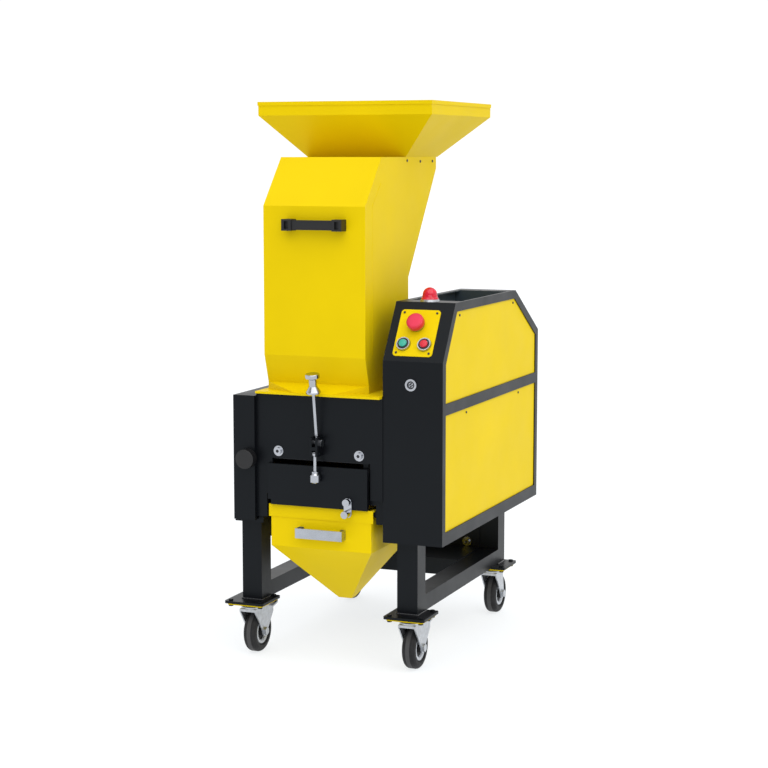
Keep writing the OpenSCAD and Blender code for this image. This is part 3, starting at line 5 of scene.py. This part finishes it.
import bmesh
import bpy
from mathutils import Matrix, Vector


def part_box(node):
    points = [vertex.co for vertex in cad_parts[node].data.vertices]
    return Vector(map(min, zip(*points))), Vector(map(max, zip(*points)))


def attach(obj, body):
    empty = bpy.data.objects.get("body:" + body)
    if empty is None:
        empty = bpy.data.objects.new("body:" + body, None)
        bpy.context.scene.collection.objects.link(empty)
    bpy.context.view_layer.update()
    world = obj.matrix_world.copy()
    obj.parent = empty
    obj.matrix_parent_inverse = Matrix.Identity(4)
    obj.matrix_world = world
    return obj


MM = 0.001
X, Y, Z = Vector((1, 0, 0)), Vector((0, 1, 0)), Vector((0, 0, 1))

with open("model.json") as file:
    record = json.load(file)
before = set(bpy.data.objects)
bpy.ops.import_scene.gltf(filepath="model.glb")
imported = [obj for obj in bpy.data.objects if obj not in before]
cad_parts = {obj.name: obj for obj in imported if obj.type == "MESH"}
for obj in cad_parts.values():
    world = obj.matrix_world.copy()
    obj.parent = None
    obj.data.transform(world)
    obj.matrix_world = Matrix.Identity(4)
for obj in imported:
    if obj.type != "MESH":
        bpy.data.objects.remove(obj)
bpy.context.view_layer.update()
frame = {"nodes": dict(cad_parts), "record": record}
scene = bpy.context.scene


# Places on the machine, in millimetres off the frame's centre line, the cabinet's front and
# the floor

# The cabinet's left side, which ties them to the row frame
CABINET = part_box("cabinet_left_side")
CABINET_X = 153

# The casters' swivel axes, and the underside of the gap in their swivel heads
CASTERS = ("front_left", "front_right", "rear_left", "rear_right")
CASTER_X = 201.5
CASTER_Y = {"front": 52, "rear": 626}
SWIVEL_Z = 116

# The legs' middles, half the width of a leg with its weld, and the weld's height
LEG_X = 196.5
LEG_Y = (66, 640)
LEG_HALF = 26
WELD_Z = 134.6

# The tower's right side, with its screws and its front flange's edge as (y, z)
TOWER_X = 103
TOWER_SCREWS = ((273, 1162.5), (359, 1160.5), (441, 1161))
FLANGE_FOOT, FLANGE_FOLD, FLANGE_TOP = (59.5, 724), (59.5, 1060), (112, 1113)

# The sloped control face: its fold's height, its rise and run, and its buttons as x and the
# distance up the slope
SLOPE_FOOT = 720
SLOPE_RISE, SLOPE_RUN = 127, 81
STOP_BUTTON = (217.5, 91)
START_BUTTON = (194.5, 42)
OFF_BUTTON = (244.5, 42)

# The height of the cam lock's axis
LOCK_Z = 668

# Floors of the socket screws' hexagons, where dark pieces are painted shade
SOCKETS = ((-104.5, -6, 501), (96.5, -6, 501), (138, 608, 188))

# The cabinet's recessed top, as lowest and highest y and z
RECESS_LOW, RECESS_HIGH = (84, 786), (494, 845)


def at(x, y, z):
    """A place on the machine, in the row frame's metres."""
    return Vector((CABINET[0].x + (x - CABINET_X) * MM, CABINET[0].y + y * MM, z * MM))


# Materials

class Finish:
    """A Principled material with a few procedural layers on object coordinates."""

    def __init__(self, name, color, roughness, metallic=0.0, specular=0.5):
        self.material = bpy.data.materials.new(name)
        self.material.use_nodes = True
        self.nodes = self.material.node_tree.nodes
        self.links = self.material.node_tree.links
        self.shader = self.nodes["Principled BSDF"]
        self.color = color
        self.roughness = roughness
        self.shader.inputs["Base Color"].default_value = (*color, 1.0)
        self.shader.inputs["Roughness"].default_value = roughness
        self.shader.inputs["Metallic"].default_value = metallic
        self.shader.inputs["Specular IOR Level"].default_value = specular
        self.coords = self.nodes.new("ShaderNodeTexCoord").outputs["Object"]
        self.normal = None

    def noise(self, scale, detail=3.0, stretch=(1, 1, 1)):
        """A noise value over the surface, drawn out where stretch is small."""
        mapping = self.nodes.new("ShaderNodeMapping")
        mapping.inputs["Scale"].default_value = stretch
        self.links.new(self.coords, mapping.inputs["Vector"])
        texture = self.nodes.new("ShaderNodeTexNoise")
        texture.inputs["Scale"].default_value = scale
        texture.inputs["Detail"].default_value = detail
        self.links.new(mapping.outputs["Vector"], texture.inputs["Vector"])
        return texture.outputs["Fac"]

    def spread(self, value, low, high, start=0.3, end=0.7):
        """value, which runs from start to end, spread between low and high. A noise seldom
        leaves the usual start and end."""
        node = self.nodes.new("ShaderNodeMapRange")
        node.inputs["From Min"].default_value = start
        node.inputs["From Max"].default_value = end
        node.inputs["To Min"].default_value = low
        node.inputs["To Max"].default_value = high
        self.links.new(value, node.inputs["Value"])
        return node.outputs["Result"]

    def blend(self, factor, low, high):
        """Gives the base colour a mix of two colours, each a tuple or another node's output."""
        mix = self.nodes.new("ShaderNodeMix")
        mix.data_type = "RGBA"
        sockets = [socket for socket in mix.inputs if socket.type == "RGBA"]
        for socket, color in zip(sockets, (low, high)):
            if isinstance(color, tuple):
                socket.default_value = (*color, 1.0)
            else:
                self.links.new(color, socket)
        self.links.new(factor, mix.inputs["Factor"])
        result = next(socket for socket in mix.outputs if socket.type == "RGBA")
        self.links.new(result, self.shader.inputs["Base Color"])

    def vary_color(self, value, darker, lighter):
        """Shades the base colour between two factors, as value goes up."""
        low = tuple(c * darker for c in self.color)
        high = tuple(min(1.0, c * lighter) for c in self.color)
        self.blend(self.spread(value, 0.0, 1.0), low, high)

    def vary_roughness(self, value, amount):
        """Lets the roughness wander by amount each way."""
        low, high = self.roughness - amount, self.roughness + amount
        self.links.new(self.spread(value, low, high), self.shader.inputs["Roughness"])

    def bump(self, value, height, strength=1.0):
        """Adds relief of that height, in metres."""
        node = self.nodes.new("ShaderNodeBump")
        node.inputs["Strength"].default_value = strength
        node.inputs["Distance"].default_value = height
        self.links.new(value, node.inputs["Height"])
        if self.normal:
            self.links.new(self.normal, node.inputs["Normal"])
        self.normal = node.outputs["Normal"]
        self.links.new(self.normal, self.shader.inputs["Normal"])


def powder_coat(name, color, roughness, specular, sheen=(1, 1, 1)):
    """Sprayed and baked paint: a faint orange peel, slow shifts of shade, soft gloss.
    sheen is the colour of its reflections."""
    paint = Finish(name, color, roughness, specular=specular)
    paint.shader.inputs["Specular Tint"].default_value = (*sheen, 1.0)
    paint.vary_color(paint.noise(5.0), darker=0.965, lighter=1.03)
    paint.vary_roughness(paint.noise(14.0), 0.035)
    paint.bump(paint.noise(420.0, detail=2.0), height=0.00006, strength=0.5)
    paint.bump(paint.noise(9.0, detail=1.0), height=0.0009, strength=0.25)
    return paint.material


def brushed(name, color, roughness, stretch):
    """Metal with fine lines across the directions in which stretch is large."""
    metal = Finish(name, color, roughness, metallic=1.0)
    lines = metal.noise(160.0, detail=4.0, stretch=stretch)
    metal.vary_color(metal.noise(30.0), darker=0.9, lighter=1.06)
    metal.vary_roughness(lines, 0.06)
    metal.bump(lines, height=0.00003, strength=0.6)
    return metal.material


def zinc_plate(name, color):
    """Bright zinc with the cloudy spangle of plated steel."""
    zinc = Finish(name, color, roughness=0.34, metallic=0.9)
    zinc.vary_color(zinc.noise(120.0, detail=5.0), darker=0.82, lighter=1.12)
    zinc.vary_roughness(zinc.noise(60.0), 0.08)
    zinc.bump(zinc.noise(300.0), height=0.00005, strength=0.5)
    return zinc.material


def moulded(name, color, roughness, grain=500.0, depth=0.00008, specular=0.5):
    """Moulded plastic or rubber with a fine grain."""
    plastic = Finish(name, color, roughness, specular=specular)
    plastic.vary_color(plastic.noise(25.0), darker=0.93, lighter=1.07)
    plastic.vary_roughness(plastic.noise(40.0), 0.04)
    plastic.bump(plastic.noise(grain, detail=2.0), depth, strength=0.5)
    return plastic.material


def cast_paint(name, color):
    """Painted casting: a coarse, uneven skin."""
    cast = Finish(name, color, roughness=0.5, metallic=0.2)
    cast.vary_color(cast.noise(40.0), darker=0.85, lighter=1.15)
    cast.bump(cast.noise(260.0, detail=5.0), height=0.0003, strength=0.6)
    return cast.material


def tyre_rubber(name, color, highlight_color, half_highlight):
    """Wheel rubber, dusty in patches, with a paler band round the middle of the tread: a painted
    highlight.
    """
    rubber = Finish(name, color, roughness=0.62, specular=0.3)
    rubber.vary_color(rubber.noise(45.0, detail=5.0), darker=0.75, lighter=1.5)
    rubber.vary_roughness(rubber.noise(60.0), 0.09)
    rubber.bump(rubber.noise(350.0, detail=3.0), height=0.00015, strength=0.6)
    split = rubber.nodes.new("ShaderNodeSeparateXYZ")
    rubber.links.new(rubber.coords, split.inputs["Vector"])
    distance = split.outputs["X"]
    for operation, number in (("SUBTRACT", at(0, 0, 0).x), ("ABSOLUTE", 0.0),
                              ("SUBTRACT", CASTER_X * MM), ("ABSOLUTE", 0.0)):
        node = rubber.nodes.new("ShaderNodeMath")
        node.operation = operation
        node.inputs[1].default_value = number
        rubber.links.new(distance, node.inputs[0])
        distance = node.outputs["Value"]
    # Painted highlight: the paler band round the middle of the tread
    band = rubber.spread(distance, 1.0, 0.0, start=half_highlight * 0.8, end=half_highlight)
    plain = rubber.shader.inputs["Base Color"].links[0].from_socket
    rubber.blend(band, plain, highlight_color)
    return rubber.material


def lens_plastic(name, color):
    """Clear coloured plastic over a bright core."""
    lens = Finish(name, color, roughness=0.14)
    lens.shader.inputs["Subsurface Weight"].default_value = 0.35
    lens.shader.inputs["Subsurface Radius"].default_value = (0.02, 0.002, 0.002)
    lens.vary_color(lens.noise(70.0, detail=1.0), darker=0.88, lighter=1.12)
    lens.bump(lens.noise(90.0, detail=1.0), height=0.0002, strength=0.4)
    return lens.material


# The grain of smooth plastic, and its depth in metres
SMOOTH = (200.0, 0.00003)

# What makes each finish, its colour, and whatever else its maker takes
LOOKS = {
    "black_paint": (powder_coat, (0.0030, 0.0034, 0.0048), 0.38, 0.2, (0.86, 0.95, 1.0)),
    "yellow_paint": (powder_coat, (0.735, 0.535, 0.0005), 0.48, 0.07),
    # Painted light: a lighter copy of the black paint for the walls and floor of the cabinet's
    # recess
    "recess_paint": (powder_coat, (0.032, 0.046, 0.058), 0.5, 0.3),
    "weld_paint": (powder_coat, (0.010, 0.011, 0.014), 0.22, 0.6),
    "zinc": (zinc_plate, (0.50, 0.52, 0.55)),
    "chrome": (brushed, (0.45, 0.465, 0.50), 0.17, (1, 1, 8)),
    "satin_metal": (brushed, (0.45, 0.475, 0.52), 0.3, (1, 8, 8)),
    "steel": (brushed, (0.45, 0.46, 0.48), 0.32, (8, 1, 1)),
    "dark_metal": (brushed, (0.06, 0.062, 0.068), 0.35, (1, 8, 1)),
    "cast": (cast_paint, (0.10, 0.11, 0.13)),
    # The tyre's paler middle band is a painted highlight
    "tyre": (tyre_rubber, (0.009, 0.009, 0.010), (0.055, 0.054, 0.056), 0.0055),
    "black_plastic": (moulded, (0.006, 0.006, 0.007), 0.42),
    "green_plastic": (moulded, (0.03, 0.36, 0.26), 0.28, *SMOOTH),
    "red_plastic": (moulded, (0.60, 0.012, 0.03), 0.3, *SMOOTH),
    # Painted highlight: a paler copy of the stop button's red, for its lit face
    "red_face": (moulded, (0.67, 0.045, 0.09), 0.4, *SMOOTH, 0.12),
    "pale_rim": (moulded, (0.42, 0.44, 0.47), 0.4),
    "red_lens": (lens_plastic, (0.60, 0.006, 0.03)),
}
FINISHES = {name: make(name, *values) for name, (make, *values) in LOOKS.items()}


# Building blocks

# Radii of the soft edges, in metres: of the large sheets and tubes, of the other frame parts and
# of the fittings made below
SHEET_EDGES = {"feed_tray": 0.0012, "hopper_tower": 0.0016, "granule_bin": 0.0012,
               "frame_legs": 0.002, "frame_rails": 0.002, "cabinet_front": 0.0014,
               "cabinet_back": 0.0014, "hopper_handle": 0.002}
PART_EDGE = 0.0006
FITTING_EDGE = 0.0002


def add_piece(name, mesh, finish, body):
    """Puts a mesh on a body, with its finish."""
    obj = bpy.data.objects.new(name, mesh)
    scene.collection.objects.link(obj)
    mesh.materials.append(FINISHES[finish])
    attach(obj, body)
    return obj


def bevel(obj, width, segments=2, angle=35.0):
    """Rounds the edges of an object a little, so that they catch the light."""
    modifier = obj.modifiers.new("soft_edges", "BEVEL")
    modifier.width = width
    modifier.segments = segments
    modifier.limit_method = "ANGLE"
    modifier.angle_limit = math.radians(angle)
    modifier.harden_normals = True


def turn_to(axis):
    """Rotation that takes +Z to axis."""
    return Z.rotation_difference(Vector(axis)).to_matrix()


def on_circle(radius, angle, height):
    """A point round +Z."""
    return Vector((radius * math.cos(angle), radius * math.sin(angle), height))


def add_lathe(bm, profile, origin, axis, steps=48):
    """Adds a round body: profile holds (radius, height) pairs along axis from origin."""
    turn = turn_to(axis)
    rings = []
    for radius, height in profile:
        angles = (2 * math.pi * i / steps for i in range(steps))
        rings.append([bm.verts.new(origin + turn @ on_circle(radius, angle, height))
                      for angle in angles])
    for low, high in zip(rings, rings[1:]):
        for i in range(steps):
            j = (i + 1) % steps
            bm.faces.new((low[i], low[j], high[j], high[i]))
    bm.faces.new(list(reversed(rings[0])))
    bm.faces.new(rings[-1])


def add_ring(bm, profile, origin, axis, steps=64):
    """Adds a ring: profile is a closed loop of (radius, height) pairs off the axis."""
    turn = turn_to(axis)
    loops = []
    for i in range(steps):
        angle = 2 * math.pi * i / steps
        loops.append([bm.verts.new(origin + turn @ on_circle(radius, angle, height))
                      for radius, height in profile])
    join_loops(bm, loops)


def add_tube(bm, points, radii, steps=8):
    """Adds a closed loop of tube through level points, with a radius at each point."""
    loops = []
    for i, point in enumerate(points):
        along = (points[(i + 1) % len(points)] - points[i - 1]).normalized()
        side = along.cross(Z)
        loop = []
        for k in range(steps):
            angle = 2 * math.pi * k / steps
            spoke = math.cos(angle) * side + math.sin(angle) * Z
            loop.append(bm.verts.new(point + radii[i] * spoke))
        loops.append(loop)
    join_loops(bm, loops)


def join_loops(bm, loops):
    """Adds the skin between each closed loop of vertices and the next, and back to the first."""
    count = len(loops[0])
    for near, far in zip(loops, loops[1:] + loops[:1]):
        for k in range(count):
            m = (k + 1) % count
            bm.faces.new((near[k], far[k], far[m], near[m]))


def add_bar(bm, start, end, normal, width, height):
    """Adds a bar from start to end on a face with that normal, with its upper edges drawn in."""
    side = (end - start).normalized().cross(normal)
    half, top_half = 0.5, 0.35
    corners = []
    for point in (start, end):
        for across, up in ((-half, 0.0), (half, 0.0), (top_half, 1.0), (-top_half, 1.0)):
            corners.append(bm.verts.new(point + side * width * across + normal * height * up))
    for k in range(4):
        m = (k + 1) % 4
        bm.faces.new((corners[k], corners[m], corners[4 + m], corners[4 + k]))
    bm.faces.new(corners[3::-1])
    bm.faces.new(corners[4:])


def finish_mesh(name, bm, finish, body, soft=True):
    """Turns what bm holds into a piece."""
    bmesh.ops.recalc_face_normals(bm, faces=bm.faces)
    mesh = bpy.data.meshes.new(name)
    bm.to_mesh(mesh)
    bm.free()
    for polygon in mesh.polygons:
        polygon.use_smooth = soft
    obj = add_piece(name, mesh, finish, body)
    bevel(obj, FITTING_EDGE, segments=1, angle=40.0)


def in_metres(profile):
    """A profile of millimetres in metres."""
    return [(radius * MM, height * MM) for radius, height in profile]


def round_piece(name, profile, places, axis, finish, body, steps=48, soft=True):
    """One mesh of equal round bodies at several places; a profile of millimetres."""
    bm = bmesh.new()
    for place in places:
        add_lathe(bm, in_metres(profile), place, axis, steps)
    finish_mesh(name, bm, finish, body, soft)


def ring_piece(name, profile, spots, finish, body):
    """One mesh of equal rings; a profile of millimetres, and spots of (place, axis)."""
    bm = bmesh.new()
    for place, axis in spots:
        add_ring(bm, in_metres(profile), place, axis)
    finish_mesh(name, bm, finish, body)


# Frame parts that keep their CAD shape

# Frame parts whose finish differs from their slot's
OTHER_FINISH = {"screen": "dark_metal", "bin_handle": "satin_metal"}


def dress_frame():
    """Gives each frame part its finish and soft edges."""
    slots = {part["node"]: part["material_slot"] for part in frame["record"]["subparts"]}
    for node, obj in frame["nodes"].items():
        obj.data.materials.clear()
        obj.data.materials.append(FINISHES[OTHER_FINISH.get(node, slots[node])])
        bevel(obj, SHEET_EDGES.get(node, PART_EDGE))


def paint_recess_light():
    """Gives the walls and floor of the cabinet's recessed top a lighter, duller copy of the
    black paint: painted light, for the light that they catch.
    """
    low, high = at(0, *RECESS_LOW), at(0, *RECESS_HIGH)
    for node in ("cabinet_left_side", "cabinet_back"):
        obj = frame["nodes"][node]
        obj.data.materials.append(FINISHES["recess_paint"])
        for polygon in obj.data.polygons:
            middle = obj.matrix_world @ polygon.center
            facing = obj.matrix_world.to_3x3() @ polygon.normal
            if node == "cabinet_left_side":
                # The whole inner face, of which only the recess shows
                inside = facing.x > 0.5
            else:
                inside = low.y < middle.y < high.y and low.z < middle.z < high.z
            polygon.material_index = 1 if inside else 0


# Fittings

def add_wheel_rims():
    """A pale dished ring in each side of each wheel."""
    profile = [(22, 8), (22.5, 11), (24.5, 13.6), (27.5, 14.4), (30.2, 13.6), (31, 11), (31, 8)]
    for name in CASTERS:
        low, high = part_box(name + "_wheel")
        centre = (low + high) / 2
        ring_piece(name + "_rims", profile, [(centre, X), (centre, -X)], "pale_rim",
                   name + "_roller")


def add_swivel_race_shade():
    """A dark ring with its dust lip between each swivel head's two plates, painted shade for the
    gap.
    """
    profile = [(26.8, 0), (27.6, 0.5), (28.2, 1.6), (28.2, 2.4), (27.6, 3.5), (26.8, 4)]
    for name in CASTERS:
        end, side = name.split("_")
        x = -CASTER_X if side == "left" else CASTER_X
        ring_piece(name + "_race_shade", profile, [(at(x, CASTER_Y[end], SWIVEL_Z), Z)], "dark_metal",
                   name + "_caster")


def add_leg_welds():
    """A rippled bead where each leg stands on its foot plate."""
    radius, pitch = 2.6, 1.1
    ripple, ripple_step = 0.2, 0.9
    steps = int(2 * LEG_HALF / pitch)
    square = [(-1, -1), (1, -1), (1, 1), (-1, 1)]
    bm = bmesh.new()
    for side in (-1, 1):
        for y in LEG_Y:
            middle = at(side * LEG_X, y, WELD_Z)
            points = []
            for (x0, y0), (x1, y1) in zip(square, square[1:] + square[:1]):
                for i in range(steps):
                    share = i / steps
                    offset = Vector((x0 + (x1 - x0) * share, y0 + (y1 - y0) * share, 0))
                    points.append(middle + offset * LEG_HALF * MM)
            radii = [radius * MM * (1 - ripple + ripple * abs(math.sin(i * ripple_step)))
                     for i in range(len(points))]
            add_tube(bm, points, radii)
    finish_mesh("leg_welds", bm, "weld_paint", "machine")


def add_tower_details():
    """Screws near the top of the tower's right side, and the edge of its front flange."""
    head = [(3.4, 0), (3.4, 0.8), (2.6, 1.9), (1.2, 2.3), (0.4, 2.3)]
    round_piece("tower_screws", head, [at(TOWER_X, *spot) for spot in TOWER_SCREWS], X,
                "dark_metal", "hopper", steps=24)
    fold = at(TOWER_X, *FLANGE_FOLD)
    width = 1.6 * MM
    bm = bmesh.new()
    add_bar(bm, fold, at(TOWER_X, *FLANGE_TOP), X, width, height=0.6 * MM)
    add_bar(bm, at(TOWER_X, *FLANGE_FOOT), fold, X, width, height=0.4 * MM)
    finish_mesh("tower_flange_edge", bm, "yellow_paint", "hopper", soft=False)


def add_button_details():
    """A paler face on the stop button, a painted highlight for its lit top, and dark gaskets and
    domed faces on the two caps.
    """
    normal = Vector((0, -SLOPE_RISE, SLOPE_RUN)).normalized()
    up = Vector((0, SLOPE_RUN, SLOPE_RISE)).normalized()
    stop_top, gasket_foot, cap_top = 24.7, 7.5, 11

    def on_slope(spot, height):
        x, along = spot
        return at(0, 0, SLOPE_FOOT) + X * x * MM + up * along * MM + normal * height * MM

    face = [(15.8, 0), (16, 0.3), (15.2, 0.7), (9, 0.9), (0.5, 0.9)]
    round_piece("stop_button_face", face, [on_slope(STOP_BUTTON, stop_top)], normal, "red_face",
                "stop_button", steps=64)
    gasket = [(9.6, -0.2), (9.6, 0.5), (10.4, 1.0), (12.6, 0.9), (13.2, 0.4), (13.2, -0.2)]
    spots = [(on_slope(spot, gasket_foot), normal) for spot in (START_BUTTON, OFF_BUTTON)]
    ring_piece("button_gaskets", gasket, spots, "black_plastic", "machine")
    cap = [(6.9, -0.1), (7, 0.2), (6.4, 0.45), (3, 0.6), (0.4, 0.6)]
    for name, spot, finish in (("start_button", START_BUTTON, "green_plastic"),
                               ("off_button", OFF_BUTTON, "red_plastic")):
        round_piece(name + "_face", cap, [on_slope(spot, cap_top)], normal, finish, name)


def add_lock_face():
    """The cam lock's dark core with its key cover."""
    low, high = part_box("cam_lock")
    core_depth = 1.9
    core = Vector(((low.x + high.x) / 2, low.y + core_depth * MM, LOCK_Z * MM))
    ring_piece("lock_core", [(5.9, 0), (5.9, 0.7), (8.2, 0.7), (8.8, 0.2), (8.8, 0)],
               [(core, -Y)], "dark_metal", "lock")
    angle, half_length, offset = 0.6, 4.4, 2.3
    tilt = Vector((math.cos(angle), 0, math.sin(angle)))
    bm = bmesh.new()
    for side in (-1, 1):
        middle = core + tilt.cross(Y) * side * offset * MM
        reach = tilt * half_length * MM
        add_bar(bm, middle - reach, middle + reach, -Y, width=2.6 * MM, height=1.2 * MM)
    finish_mesh("lock_key_cover", bm, "dark_metal", "lock", soft=False)


def add_socket_shade():
    """Painted shade: a dark hexagon in each socket screw's head, with a drawn-in floor, for the
    shade inside the socket.
    """
    profile = [(3.9, 0), (3.9, 1.6), (3.7, 1.6), (3.4, 0.7), (0.2, 0.3)]
    round_piece("bolt_socket_shade", profile, [at(*place) for place in SOCKETS], -Y, "dark_metal",
                "machine", steps=6, soft=False)


def add_knob_rim():
    """A raised edge round the side knob's face."""
    low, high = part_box("side_knob")
    seat = 0.2
    middle = Vector(((low.x + high.x) / 2, low.y + seat * MM, (low.z + high.z) / 2))
    profile = [(19, -0.9), (19.4, 0), (20.4, 0.4), (21.6, 0), (22.1, -0.9)]
    ring_piece("cover_knob_rim", profile, [(middle, -Y)], "black_plastic", "cover_knob")


dress_frame()
paint_recess_light()
add_wheel_rims()
add_swivel_race_shade()
add_leg_welds()
add_tower_details()
add_button_details()
add_lock_face()
add_socket_shade()
add_knob_rim()


# Camera, floor and light

# The photograph's view, found by fitting the machine's corners to their pixels: metres, degrees
# and millimetres
CAMERA_PLACE = (1.67075, -4.10237, 1.175)
CAMERA_DOWN = 7.09
CAMERA_TURN = 22.13
CAMERA_LENS = 86.2
CAMERA_SENSOR = 36.0

# Half the floor's side in metres, and the strength of its glow
FLOOR_HALF = 40
FLOOR_GLOW = 0.76

# Where the sun stands, its strength, and how wide it looks in degrees
SUN_FROM = (0.35, -0.6, 0.8)
SUN_STRENGTH = 2.3
SUN_ANGLE = 80

# Brightness of the studio behind the photographer and elsewhere, and where on Y it changes
STUDIO_BACK, STUDIO_WHITE = 0.3, 1.05
FADE_START, FADE_END = -0.75, -0.05


def add_camera():
    """The camera that the scene is rendered with."""
    camera = bpy.data.objects.new("camera", bpy.data.cameras.new("camera"))
    camera.data.sensor_width = CAMERA_SENSOR
    camera.data.lens = CAMERA_LENS
    camera.location = CAMERA_PLACE
    camera.rotation_euler = (math.radians(90 - CAMERA_DOWN), 0, math.radians(CAMERA_TURN))
    scene.collection.objects.link(camera)
    scene.camera = camera


def add_floor():
    """A wide pale floor with a glow of its own, so that shadows on it stay faint."""
    mesh = bpy.data.meshes.new("floor")
    bm = bmesh.new()
    bmesh.ops.create_grid(bm, x_segments=1, y_segments=1, size=FLOOR_HALF)
    bm.to_mesh(mesh)
    bm.free()
    floor = bpy.data.objects.new("floor", mesh)
    surface = Finish("floor_paint", (0.25, 0.255, 0.265), roughness=0.8, specular=0.1)
    surface.vary_color(surface.noise(0.8), darker=0.995, lighter=1.005)
    surface.shader.inputs["Emission Color"].default_value = (0.97, 0.99, 1.0, 1.0)
    surface.shader.inputs["Emission Strength"].default_value = FLOOR_GLOW
    mesh.materials.append(surface.material)
    scene.collection.objects.link(floor)


def add_world():
    """A white studio that darkens behind the photographer, so that metal shows its form."""
    world = bpy.data.worlds.new("studio")
    world.use_nodes = True
    nodes, links = world.node_tree.nodes, world.node_tree.links
    split = nodes.new("ShaderNodeSeparateXYZ")
    links.new(nodes.new("ShaderNodeTexCoord").outputs["Generated"], split.inputs["Vector"])
    fade = nodes.new("ShaderNodeMapRange")
    fade.inputs["From Min"].default_value = FADE_START
    fade.inputs["From Max"].default_value = FADE_END
    fade.inputs["To Min"].default_value = STUDIO_BACK
    fade.inputs["To Max"].default_value = STUDIO_WHITE
    links.new(split.outputs["Y"], fade.inputs["Value"])
    links.new(fade.outputs["Result"], nodes["Background"].inputs["Strength"])
    nodes["Background"].inputs["Color"].default_value = (1.0, 1.0, 1.0, 1.0)
    scene.world = world


def add_sun():
    """A broad, even key light."""
    light = bpy.data.lights.new("key", "SUN")
    light.energy = SUN_STRENGTH
    light.angle = math.radians(SUN_ANGLE)
    obj = bpy.data.objects.new("key", light)
    obj.rotation_euler = Vector(SUN_FROM).to_track_quat("Z", "Y").to_euler()
    scene.collection.objects.link(obj)


add_camera()
add_floor()
add_world()
add_sun()
scene.view_settings.view_transform = "Standard"
